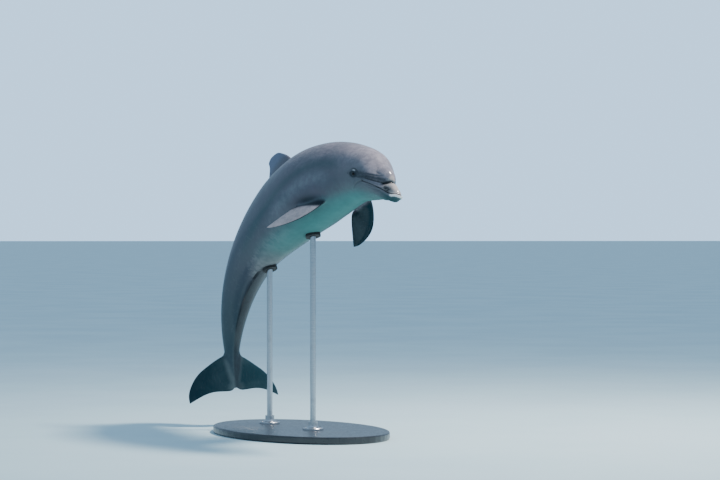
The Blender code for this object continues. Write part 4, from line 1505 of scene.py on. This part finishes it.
class MaterialTree(Tree):
    """A material's node tree, with the nodes that the finishes use."""

    def __init__(self, name: str) -> None:
        """Makes the material."""
        self.material = bpy.data.materials.new(name)
        self.material.use_nodes = True
        super().__init__(self.material.node_tree)

    def attribute(self, name: str, vector: bool = False) -> Socket:
        """A point attribute of the mesh."""
        return self.add("ShaderNodeAttribute", {}, attribute_name=name).outputs["Vector" if vector else "Fac"]

    def object_place(self) -> Socket:
        """Object coordinates."""
        return self.add("ShaderNodeTexCoord", {}).outputs["Object"]

    def scaled(self, vector: Socket, scale: Triple, turn: Triple = (0, 0, 0)) -> Socket:
        """The vector stretched along its axes and turned about them."""
        inputs = {"Vector": vector, "Rotation": turn, "Scale": scale}
        return self.add("ShaderNodeMapping", inputs).outputs["Vector"]

    def noise(
        self, vector: Socket, scale: float, detail: float = 4, rough: float = 0.5, warp: float = 0
    ) -> Socket:
        """Noise from 0 to 1."""
        inputs = {"Vector": vector, "Scale": scale, "Detail": detail, "Roughness": rough, "Distortion": warp}
        return self.add("ShaderNodeTexNoise", inputs).outputs["Fac"]

    def cells(self, vector: Socket, scale: float) -> Socket:
        """Distance to the nearest of scattered points."""
        return self.add("ShaderNodeTexVoronoi", {"Vector": vector, "Scale": scale}).outputs["Distance"]

    def stretched(
        self, value: Socket, low: float, high: float, to_low: float = 0, to_high: float = 1
    ) -> Socket:
        """The value's range from low to high, carried smoothly to another range."""
        inputs = {"Value": value, "From Min": low, "From Max": high, "To Min": to_low, "To Max": to_high}
        return self.add("ShaderNodeMapRange", inputs, interpolation_type="SMOOTHSTEP").outputs["Result"]

    def maths(self, operation: str, a: object, b: object) -> Socket:
        """A sum, product or other simple operation of two numbers."""
        return self.add("ShaderNodeMath", {0: a, 1: b}, operation=operation).outputs[0]

    def product(self, a: object, b: object) -> Socket:
        """Two numbers multiplied."""
        return self.maths("MULTIPLY", a, b)

    def share(self, name: str, part: object = 1.0) -> Socket:
        """A point attribute of the mesh, or a part of it."""
        return self.attribute(name) if part == 1.0 else self.product(self.attribute(name), part)

    def mixed(self, amount: object, a: object, b: object) -> Socket:
        """Two colours mixed by an amount."""
        return self.add("ShaderNodeMix", {0: amount, 6: a, 7: b}, data_type="RGBA").outputs[2]

    def painted(self, colour: object, *coats: tuple[str, object, object]) -> Socket:
        """Lays coats of paint over a colour.

        Args:
            colour: the colour below.
            coats: for each coat the point attribute that shows where it lies, how much of it shows,
                and its colour.

        Returns:
            The colour with all the coats on it.
        """
        for name, part, shade in coats:
            colour = self.mixed(self.share(name, part), colour, shade)
        return colour

    def bumped(self, *layers: tuple[Socket, float]) -> Socket:
        """A normal bumped by layers of a height and its depth in metres.

        Args:
            layers: for each layer its height and depth.

        Returns:
            The normal.
        """
        normal: dict[str | int, object] = {}
        for height, depth in layers:
            node = self.add("ShaderNodeBump", {"Distance": depth, "Height": height, **normal})
            normal = {"Normal": node.outputs["Normal"]}
        return normal["Normal"]

    def finish(
        self, colour: object, roughness: object, normal: Socket, **others: object
    ) -> bpy.types.Material:
        """Feeds the shader.

        Args:
            colour: the base colour.
            roughness: the roughness.
            normal: the bumped normal.
            others: further inputs of the shader, with underscores for spaces.

        Returns:
            The material.
        """
        inputs = {"Base Color": colour, "Roughness": roughness, "Normal": normal}
        inputs.update({word.replace("_", " "): value for word, value in others.items()})
        for word, value in inputs.items():
            self.plug(value, self.tree.nodes["Principled BSDF"].inputs[word])
        return self.material


# ---------------------------------------------------------------- finishes
@dataclass(frozen=True)
class SkinFinish:
    """Wet dolphin skin: grey back, paler belly, dark face stripes, pale jaw tip, scratches and marks, and
    painted light and shade.
    """

    back: Colour = (0.112, 0.102, 0.122, 1)
    mottle: Colour = (0.266, 0.236, 0.262, 1)
    flank: Colour = (0.094, 0.083, 0.107, 1)
    face: Colour = (0.122, 0.126, 0.136, 1)
    # the belly's colours: a paler underside with a painted teal reflection of water, strongest along the keel
    belly: Colour = (0.120, 0.186, 0.186, 1)
    keel: Colour = (0.084, 0.250, 0.230, 1)
    rear_belly: Colour = (0.430, 0.415, 0.400, 1)
    slate: Colour = (0.042, 0.076, 0.083, 1)
    # near-black: the face's dark stripe, also the painted shade round the eyes, in the armpits and under the
    # tail
    stripe: Colour = (0.006, 0.010, 0.016, 1)
    streak: Colour = (0.155, 0.166, 0.188, 1)
    fins: Colour = (0.006, 0.024, 0.032, 1)
    # blue-grey of the painted sky reflection on the dorsal fin
    dorsal: Colour = (0.142, 0.160, 0.225, 1)
    # pale pink of the painted sunlight on the fins' upper faces
    sunlit_fin_top: Colour = (0.640, 0.480, 0.455, 1)
    beak: Colour = (0.440, 0.385, 0.352, 1)
    patch: Colour = (0.010, 0.009, 0.012, 1)
    # white of the lower lip, also used for the painted highlight over each eye
    lip: Colour = (0.930, 0.870, 0.830, 1)
    # painted shade with a teal water reflection under the jaw's tip
    chin: Colour = (0.032, 0.076, 0.082, 1)
    pink: Colour = (0.150, 0.140, 0.150, 1)
    # near-black of the painted shade in the mouth line, creases, folds and holes
    groove: Colour = (0.010, 0.012, 0.014, 1)
    scratch: Colour = (0.170, 0.175, 0.200, 1)
    # cell scale, turn in radians and strength of each set of scratches
    scratches: Rows = ((7.0, 0.3, 0.5), (11.0, -0.8, 0.35))

    def body(self, t: MaterialTree, lay: Socket, cloudy: Socket) -> Socket:
        """The colours of back, flank and belly, with the painted teal water reflection on the belly and the
        painted shade under the tail.

        Args:
            t: the material's tree.
            lay: the place on the unbent body.
            cloudy: soft noise.

        Returns:
            The colour.
        """
        side = t.mixed(t.share("head", 0.75), self.flank, self.face)
        mottled = t.stretched(t.noise(t.scaled(lay, (22, 34, 34)), 1.0, 5, 0.65, 0.5), 0.35, 0.7, 0, 0.42)
        crown = t.share("head", t.stretched(cloudy, 0.36, 0.64, 0.48, 0.94))
        back = t.mixed(t.maths("MAXIMUM", mottled, crown), self.back, self.mottle)
        colour = t.painted(
            side,
            ("cape", 1.0, back),
            ("rear", 0.3, self.slate),
            ("tail", 0.8, self.slate),
            ("light_band", t.stretched(cloudy, 0.3, 0.7, 0.5, 1.0), self.streak),
            ("band", 0.65, self.slate),
        )
        soft_edge = t.stretched(cloudy, 0.3, 0.7, -0.12, 0.12)
        pale = t.stretched(t.maths("ADD", t.attribute("pale"), soft_edge), 0, 1)
        # the pale belly carries a painted teal water reflection
        colour = t.mixed(pale, colour, t.mixed(t.attribute("rear"), self.belly, self.rear_belly))
        return t.painted(
            # painted teal reflection along the keel, painted shade under the tail and the pink of the belly
            colour, ("keel", 0.85, self.keel), ("under_tail", 0.8, self.stripe), ("pink", 0.5, self.pink)
        )

    def limbs_and_head(self, t: MaterialTree, lay: Socket, cloudy: Socket, colour: Socket) -> Socket:
        """The colours of fins, face and beak over those of the body, with painted sunlight, sky blue and
        shade on the fins, and painted shade round the eyes and under the chin.

        Args:
            t: the material's tree.
            lay: the place on the unbent body.
            cloudy: soft noise.
            colour: the body's colour.

        Returns:
            The colour.
        """
        # patches in the painted sunlight on the fins
        patchy_sunlight = t.stretched(t.noise(t.scaled(lay, (1, 2, 2)), 30, 4, 0.65, 0.6), 0.3, 0.62, 0.72, 1.0)
        colour = t.painted(
            colour,
            ("fin", 1.0, self.fins),
            # painted sky reflection: the dorsal fin turns blue toward its crest
            ("dorsal", 1.0, t.mixed(t.attribute("fin_crest"), self.back, self.dorsal)),
            ("sunny", patchy_sunlight, self.sunlit_fin_top),
            ("shadow", 0.92, self.stripe),
        )
        stripe = t.share("stripe", t.stretched(cloudy, 0.2, 0.75, 1.0, 0.7))
        colour = t.mixed(t.product(stripe, 0.8), colour, self.stripe)
        return t.painted(
            colour,
            # painted shade round the eyes, over the dark skin there
            ("socket", 0.94, self.stripe),
            ("chin", 1.0, self.chin),
            ("beak", t.stretched(t.noise(lay, 120, 3, 0.7, 1.0), 0.38, 0.6, 0.7, 1.0), self.beak),
            ("patch", t.stretched(t.noise(lay, 95, 4, 0.7, 0.8), 0.36, 0.6, 0.55, 1.0), self.patch),
        )

    def worn(self, t: MaterialTree, lay: Socket, broad: Socket, along: Socket, colour: Socket) -> Socket:
        """Clouds, streaks, speckles and scratches over the colour.

        Args:
            t: the material's tree.
            lay: the place on the unbent body.
            broad: broad noise.
            along: noise drawn out along the body.
            colour: the colour below.

        Returns:
            The colour.
        """
        colour = t.mixed(t.stretched(broad, 0.35, 0.7, 0, 0.4), colour, t.mixed(0.5, colour, self.slate))
        light = t.mixed(0.35, colour, self.scratch)
        colour = t.mixed(t.stretched(along, 0.55, 0.8, 0, 0.35), colour, light)
        colour = t.mixed(t.stretched(t.noise(lay, 420, 2, 0.7), 0.62, 0.78, 0, 0.3), colour, light)
        for scale, turn, strength in self.scratches:
            turned = t.scaled(lay, (1, 16, 16), (turn, turn * 0.6, turn * 0.4))
            line = t.stretched(t.cells(turned, scale), 0.0, 0.055, 1, 0)
            patch = t.stretched(t.noise(lay, scale * 0.9, 2), 0.52, 0.66)
            colour = t.mixed(t.product(t.product(line, patch), strength), colour, self.scratch)
        return colour

    def material(self) -> bpy.types.Material:
        """Builds the material.

        Returns:
            The material.
        """
        t = MaterialTree("wet dolphin skin")
        lay = t.attribute("lay", vector=True)
        broad = t.noise(lay, 9, 5, 0.55, 0.4)
        cloudy = t.noise(lay, 34, 5, 0.6, 0.3)
        fine = t.noise(lay, 260, 3, 0.6)
        along = t.noise(t.scaled(lay, (6, 60, 60)), 3.5, 4, 0.6, 0.2)
        colour = self.limbs_and_head(t, lay, cloudy, self.body(t, lay, cloudy))
        colour = self.worn(t, lay, broad, along, colour)
        # the white lip with the painted highlight over each eye, then painted shade in the mouth line,
        # creases, folds and holes
        colour = t.painted(colour, ("lip", 1.0, self.lip), ("dark", 1.0, self.groove))
        roughness = t.stretched(t.maths("ADD", cloudy, t.product(fine, 0.4)), 0.4, 0.95, 0.36, 0.54)
        normal = t.bumped((broad, 0.005), (along, 0.0004), (cloudy, 0.0006), (fine, 0.00006))
        dull = t.maths("MAXIMUM", t.attribute("pale"), t.share("fin", 0.35))
        wet = t.stretched(dull, 0.0, 0.8, 0.5, 0.05)
        looks = {"Coat_Weight": wet, "Coat_Roughness": 0.16, "IOR": 1.33, "Specular_IOR_Level": 0.0}
        return t.finish(colour, roughness, normal, **looks)


@dataclass(frozen=True)
class EyeFinish:
    """A dark brown eye: black pupil, brown iris, dark sclera, all under a clear wet surface."""

    pupil: Colour = (0.001, 0.001, 0.002, 1)
    iris: Colour = (0.030, 0.016, 0.009, 1)
    rim: Colour = (0.006, 0.005, 0.005, 1)
    sclera: Colour = (0.012, 0.009, 0.009, 1)

    def material(self) -> bpy.types.Material:
        """Builds the material.

        Returns:
            The material.
        """
        t = MaterialTree("wet eye")
        off = t.attribute("off_axis")
        fibre = t.noise(t.scaled(t.attribute("dial", vector=True), (1, 1, 0.15)), 9, 4, 0.6)
        iris = t.mixed(t.stretched(fibre, 0.35, 0.7), self.rim, self.iris)
        colour = t.mixed(t.stretched(t.attribute("around"), 0.46, 0.52), self.pupil, iris)
        colour = t.mixed(t.stretched(off, 0.56, 0.62), colour, self.rim)
        colour = t.mixed(t.stretched(off, 0.66, 0.82), colour, self.sclera)
        normal = t.bumped((t.noise(t.object_place(), 400, 2), 0.00004))
        roughness = t.stretched(off, 0.3, 0.9, 0.04, 0.12)
        return t.finish(colour, roughness, normal, Coat_Weight=0.2, Coat_Roughness=0.03, IOR=1.2)


@dataclass(frozen=True)
class LacquerFinish:
    """Satin black lacquer with a faint orange peel and dust."""

    base: Colour = (0.018, 0.019, 0.021, 1)
    dust: Colour = (0.090, 0.090, 0.088, 1)

    def material(self) -> bpy.types.Material:
        """Builds the material.

        Returns:
            The material.
        """
        t = MaterialTree("satin lacquer")
        place = t.object_place()
        cloud = t.noise(place, 5, 5, 0.6, 0.5)
        specks = t.stretched(t.cells(place, 95), 0.02, 0.07, 1, 0)
        colour = t.mixed(t.stretched(cloud, 0.45, 0.8, 0, 0.22), self.base, self.dust)
        colour = t.mixed(t.product(specks, 0.22), colour, self.dust)
        roughness = t.stretched(t.noise(place, 60, 4, 0.65), 0.3, 0.7, 0.26, 0.42)
        peel = t.bumped((t.noise(place, 420, 2, 0.5), 0.00012))
        return t.finish(colour, roughness, peel, Coat_Weight=0.25, Coat_Roughness=0.2)


@dataclass(frozen=True)
class SteelFinish:
    """Brushed stainless steel, brushed round its own upright axis."""

    base: Colour = (0.50, 0.51, 0.53, 1)
    stain: Colour = (0.30, 0.30, 0.31, 1)

    def material(self) -> bpy.types.Material:
        """Builds the material.

        Returns:
            The material.
        """
        t = MaterialTree("brushed steel")
        place = t.object_place()
        brush = t.noise(t.scaled(place, (1.5, 1.5, 900)), 2, 3, 0.7)
        blotch = t.noise(place, 14, 4, 0.6, 0.6)
        colour = t.mixed(t.stretched(blotch, 0.5, 0.8, 0, 0.5), self.base, self.stain)
        roughness = t.stretched(t.maths("ADD", brush, t.product(blotch, 0.3)), 0.4, 0.9, 0.2, 0.4)
        return t.finish(colour, roughness, t.bumped((brush, 0.00005)), Metallic=1.0)


@dataclass(frozen=True)
class RubberFinish:
    """Matt black rubber, lightly scuffed."""

    base: Colour = (0.016, 0.016, 0.017, 1)
    scuff: Colour = (0.060, 0.060, 0.062, 1)

    def material(self) -> bpy.types.Material:
        """Builds the material.

        Returns:
            The material.
        """
        t = MaterialTree("matt rubber")
        place = t.object_place()
        worn = t.noise(place, 42, 4, 0.65)
        colour = t.mixed(t.stretched(worn, 0.5, 0.75, 0, 0.6), self.base, self.scuff)
        grain = t.bumped((t.noise(place, 320, 3, 0.6), 0.0002))
        return t.finish(colour, t.stretched(worn, 0.3, 0.7, 0.62, 0.85), grain)


@dataclass(frozen=True)
class FloorFinish:
    """A plain pale floor, very slightly uneven."""

    base: Colour = (0.58, 0.75, 0.77, 1)
    second: Colour = (0.53, 0.70, 0.73, 1)

    def material(self) -> bpy.types.Material:
        """Builds the material.

        Returns:
            The material.
        """
        t = MaterialTree("pale floor")
        place = t.object_place()
        cloud = t.noise(place, 0.9, 4, 0.5)
        colour = t.mixed(t.stretched(cloud, 0.35, 0.7), self.base, self.second)
        uneven = t.bumped((t.noise(place, 60, 3), 0.0003))
        return t.finish(colour, t.stretched(cloud, 0.3, 0.7, 0.55, 0.65), uneven)


# ---------------------------------------------------------------- the eyes
@dataclass
class Eyeball:
    """A whole eyeball with a raised clear front, in place of an eye node."""

    side: Side
    rings: int = 46
    segments: int = 64
    fill: float = 0.985
    cornea_rise: float = 0.035
    shift: Triple = (0.0003, 0.0026, -0.0004)
    look: Triple = (0.42, 1.0, -0.05)

    @property
    def node(self) -> str:
        """The CAD node that the eyeball stands for."""
        return "eye_" + self.side.name.lower()

    def centre_and_radius(self) -> tuple[Vector, float]:
        """The eye node's middle and radius."""
        low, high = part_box(self.node)
        return (low + high) / 2, (high.z - low.z) / 2

    def ball(self, radius: float) -> Shape:
        """The ball about the origin, looking along X.

        Args:
            radius: the eye node's radius.

        Returns:
            The shape.
        """
        polar = np.linspace(0, math.pi, self.rings + 1)[1:-1]
        turn = np.linspace(0, 2 * math.pi, self.segments, endpoint=False)
        size = radius * self.fill * (1 + self.cornea_rise * bell(np.sin(polar), 0.55) * (polar < 1.5))
        along, across = (size * np.cos(polar))[:, None], (size * np.sin(polar))[:, None]
        rings = np.stack([along + 0 * turn, across * np.cos(turn), across * np.sin(turn)], -1)
        front = np.array([radius * self.fill * (1 + self.cornea_rise), 0, 0])
        return loft([*rings], front, np.array([-radius * self.fill, 0, 0]))

    def layers(self, own: Array) -> dict[str, Array]:
        """How far points are from the eye's axis and its long pupil, and where they lie on its dial.

        Args:
            own: the points in the eye's own axes, in parts of its radius.

        Returns:
            The values by name.
        """
        off = np.hypot(own[:, 1], own[:, 2]) + 2 * (own[:, 0] < 0)
        pupil = np.hypot(own[:, 1] * 0.85, own[:, 2] * 1.45 + 0.05)
        turn = np.arctan2(own[:, 2], own[:, 1])
        around = np.where(own[:, 0] > 0, np.minimum(pupil * 1.35, 2), 2)
        return {"off_axis": off, "around": around, "dial": np.stack([np.cos(turn), np.sin(turn), off], 1)}

    def build(self, spine: Spine, finish: bpy.types.Material) -> bpy.types.Object:
        """Makes the eyeball where its node is, looking out to its side.

        Args:
            spine: the bent spine.
            finish: the eyes' material.

        Returns:
            The eyeball.
        """
        centre, radius = self.centre_and_radius()
        station = spine.to_body(np.array([centre]))[0, 0]
        _, forward, left, up = (Vector(v) for v in spine.frame_at(np.array(station)))
        ahead, aside, above = self.look
        out = (forward * ahead + left * (aside * self.side.value) + up * above).normalized()
        high = (up - out * up.dot(out)).normalized()
        axes = np.array([out, high.cross(out), high])
        ahead, aside, above = self.shift
        centre = np.array(centre + forward * ahead + left * (self.side.value * aside) + up * above)
        shape = self.ball(radius)
        shape.points = shape.points @ axes + centre
        mesh = shape.to_mesh(self.node)
        facing_out(mesh)
        mesh.materials.append(finish)
        write_layers(mesh, self.layers((read(mesh.vertices, "co", 3) - centre) @ axes.T / radius))
        item = new_object(self.node + "_ball", mesh)
        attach(item, "root")
        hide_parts(self.node)
        LOG.info("%s: %d faces", item.name, len(mesh.polygons))
        return item


# ---------------------------------------------------------------- the stand
@dataclass
class Stand:
    """The display stand: its own nodes with finished materials, and the screws of its flanges."""

    screw_count: int = 4
    screw_ring: float = 0.048
    screw_radius: float = 0.0046
    screw_height: float = 0.0030
    socket_radius: float = 0.0022
    plate_height: float = 0.010
    screw_steel: Colour = (0.34, 0.35, 0.36, 1)

    def dress(self, nodes: dict[str, bpy.types.Object]) -> None:
        """Gives each node of the stand its finish.

        Args:
            nodes: the frame's nodes by name.
        """
        steel = SteelFinish().material()
        finishes = {
            "stand_base": LacquerFinish().material(),
            "stand_rod": steel,
            "stand_flange": steel,
            "stand_pad": RubberFinish().material(),
        }
        for name, node in nodes.items():
            for start, material in finishes.items():
                if name.startswith(start):
                    node.data.materials.clear()
                    node.data.materials.append(material)
                    LOG.info("%s: %s", name, material.name)

    def screw_tree(self) -> bpy.types.GeometryNodeTree:
        """A tree that sets a ring of socket-head screws about each point it is given.

        Returns:
            The tree.
        """
        group = bpy.data.node_groups.new("screw ring", "GeometryNodeTree")
        sizes = (
            ("Centres", "Geometry", None),
            ("Count", "Int", self.screw_count),
            ("Ring Radius", "Float", self.screw_ring),
            ("Head Radius", "Float", self.screw_radius),
            ("Head Height", "Float", self.screw_height),
            ("Socket Radius", "Float", self.socket_radius),
            ("Material", "Material", None),
        )
        for word, kind, value in sizes:
            made = group.interface.new_socket(word, in_out="INPUT", socket_type="NodeSocket" + kind)
            if value is not None:
                made.default_value = value
        group.interface.new_socket("Screws", in_out="OUTPUT", socket_type="NodeSocketGeometry")
        tree = Tree(group)
        given = tree.add("NodeGroupInput", {}).outputs
        head_radius, head_height = given["Head Radius"], given["Head Height"]

        def made(kind: str, inputs: dict[str | int, object], **settings: object) -> Socket:
            """Adds a node and gives its first output."""
            return tree.add(kind, inputs, **settings).outputs[0]

        ring = made("GeometryNodeMeshCircle", {"Vertices": given["Count"], "Radius": given["Ring Radius"]})
        rings = made("GeometryNodeInstanceOnPoints", {"Points": given["Centres"], "Instance": ring})
        places = made("GeometryNodeRealizeInstances", {"Geometry": rings})

        lift = made("ShaderNodeCombineXYZ", {"Z": head_height})
        rise = made("ShaderNodeVectorMath", {0: lift, "Scale": 0.4}, operation="SCALE")
        head = made("GeometryNodeMeshCylinder", {"Vertices": 32, "Radius": head_radius, "Depth": head_height})
        dome = made("GeometryNodeMeshUVSphere", {"Segments": 32, "Rings": 14, "Radius": head_radius})
        crown = made("GeometryNodeTransform", {"Geometry": dome, "Scale": (1, 1, 0.42), "Translation": rise})
        whole = made("GeometryNodeMeshBoolean", {"Mesh 2": [head, crown]}, operation="UNION")
        hexagon = {"Vertices": 6, "Radius": given["Socket Radius"], "Depth": head_height}
        socket = made("GeometryNodeMeshCylinder", hexagon)
        raised = made("GeometryNodeTransform", {"Geometry": socket, "Translation": lift})
        cut = made("GeometryNodeMeshBoolean", {"Mesh 1": whole, "Mesh 2": raised}, operation="DIFFERENCE")

        screws = made("GeometryNodeInstanceOnPoints", {"Points": places, "Instance": cut})
        real = made("GeometryNodeRealizeInstances", {"Geometry": screws})
        dressed = made("GeometryNodeSetMaterial", {"Geometry": real, "Material": given["Material"]})
        tree.add("NodeGroupOutput", {"Screws": dressed})
        return group

    def build_screws(self) -> bpy.types.Object:
        """Screws down both flanges.

        Returns:
            The screws as one object.
        """
        centres = []
        for word in ("front", "rear"):
            low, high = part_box("stand_flange_" + word)
            middle = (low + high) / 2
            centres.append((middle.x, middle.y, low.z + self.plate_height + self.screw_height * 0.45))
        mesh = bpy.data.meshes.new("flange centres")
        mesh.from_pydata(centres, [], [])
        item = new_object("stand_screws", mesh)
        modifier = item.modifiers.new("screws", "NODES")
        modifier.node_group = self.screw_tree()
        for socket in modifier.node_group.interface.items_tree:
            if socket.name == "Material":
                modifier[socket.identifier] = SteelFinish(base=self.screw_steel).material()
        made = evaluated_mesh(item)
        bpy.data.objects.remove(item)
        made.name = "stand_screws"
        screws = new_object("stand_screws", made)
        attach(screws, "root")
        LOG.info("stand_screws: %d faces", len(made.polygons))
        return screws


# ---------------------------------------------------------------- the studio
@dataclass(frozen=True)
class Lamp:
    """A square soft light, its offset from the animal's middle given the camera's way."""

    name: str
    back: float
    right: float
    up: float
    size: float
    power: float
    colour: Triple
    glossy: bool = True


@dataclass
class Studio:
    """A plain pale floor, soft lights and the camera."""

    azimuth: float = math.radians(58)
    distance: float = 12.0
    lens: float = 108.6
    sight: float = 8000.0
    aim_station: float = 40
    aim_right: float = 0.304
    aim_up: float = -0.228
    floor_size: float = 4000.0
    lamps: tuple[Lamp, ...] = (
        Lamp("key", -0.1, 2.8, 4.3, 0.8, 580, (1.0, 0.95, 0.92)),
        Lamp("fill", 4.5, -1.5, 1.2, 3.5, 14, (0.86, 0.92, 1.0), glossy=False),
    )
    lamp_rise: float = 0.3
    sky: Colour = (0.46, 0.71, 1.0, 1)
    sky_light: float = 0.85
    sky_seen: float = 1.75

    def axes(self) -> tuple[Vector, Vector]:
        """The camera's way back and its way right."""
        back = Vector((math.sin(self.azimuth), -math.cos(self.azimuth), 0))
        return back, Vector((math.cos(self.azimuth), math.sin(self.azimuth), 0))

    def placed(self, data: bpy.types.ID, place: Vector, behind: Vector) -> bpy.types.Object:
        """Puts a light or camera into the scene.

        Args:
            data: the light or camera.
            place: where it stands.
            behind: the way from what it looks at to it.

        Returns:
            The object.
        """
        item = bpy.data.objects.new(data.name, data)
        item.location = place
        item.rotation_euler = (-behind).to_track_quat("-Z", "Y").to_euler()
        bpy.context.scene.collection.objects.link(item)
        return item

    def build_camera(self, spine: Spine) -> None:
        """Sets the camera level with the animal, well back, with a long lens.

        Args:
            spine: the bent spine.
        """
        back, right = self.axes()
        aim = Vector(spine.frame_at(np.array(float(self.aim_station)))[0])
        data = bpy.data.cameras.new("camera")
        data.lens = self.lens
        data.clip_end = self.sight
        place = aim + back * self.distance + right * self.aim_right + Vector((0, 0, self.aim_up))
        bpy.context.scene.camera = self.placed(data, place, back)

    def build_floor(self) -> None:
        """The pale floor under the stand."""
        half = self.floor_size / 2
        corners = np.array([(-half, -half, 0), (half, -half, 0), (half, half, 0), (-half, half, 0)])
        floor = new_object("floor", Shape(corners, [(0, 1, 2, 3)]).to_mesh("floor"))
        floor.data.materials.append(FloorFinish().material())
        floor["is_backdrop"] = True

    def build_lights(self) -> None:
        """A key from nearly overhead and a faint fill from the front, aimed at the animal."""
        back, right = self.axes()
        low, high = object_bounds()
        middle = (low + high) / 2 + Vector((0, 0, self.lamp_rise))
        for lamp in self.lamps:
            data = bpy.data.lights.new(lamp.name, "AREA")
            data.size = lamp.size
            data.energy = lamp.power
            data.color = lamp.colour
            offset = back * lamp.back + right * lamp.right + Vector((0, 0, lamp.up))
            self.placed(data, middle + offset, offset).visible_glossy = lamp.glossy

    def build_sky(self) -> None:
        """A soft pale sky all round, brighter where the camera sees it."""
        world = bpy.data.worlds.new("sky")
        world.use_nodes = True
        tree = Tree(world.node_tree)
        seen = tree.add("ShaderNodeLightPath", {}).outputs["Is Camera Ray"]
        inputs = {"Value": seen, "To Min": self.sky_light, "To Max": self.sky_seen}
        shader = world.node_tree.nodes["Background"]
        tree.plug(self.sky, shader.inputs["Color"])
        tree.plug(tree.add("ShaderNodeMapRange", inputs).outputs["Result"], shader.inputs["Strength"])
        bpy.context.scene.world = world

    def build(self, spine: Spine) -> None:
        """Builds the studio."""
        self.build_camera(spine)
        self.build_floor()
        self.build_lights()
        self.build_sky()


def main() -> None:
    """Builds the dolphin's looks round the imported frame."""
    logging.basicConfig(level=logging.INFO, format="%(name)s: %(message)s")
    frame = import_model()
    spine = Spine(Posture())
    eyes = [Eyeball(side) for side in Side]
    centre, _ = eyes[0].centre_and_radius()
    eye_place = tuple(float(v) for v in spine.to_body(np.array([centre]))[0])
    LOG.info("eye in body coordinates: %.2f %.2f %.2f", *eye_place)
    Skin(spine, eye_place).build()
    finish = EyeFinish().material()
    for eye in eyes:
        eye.build(spine, finish)
    stand = Stand()
    stand.dress(frame["nodes"])
    stand.build_screws()
    Studio().build(spine)


if __name__ == "__main__":
    main()
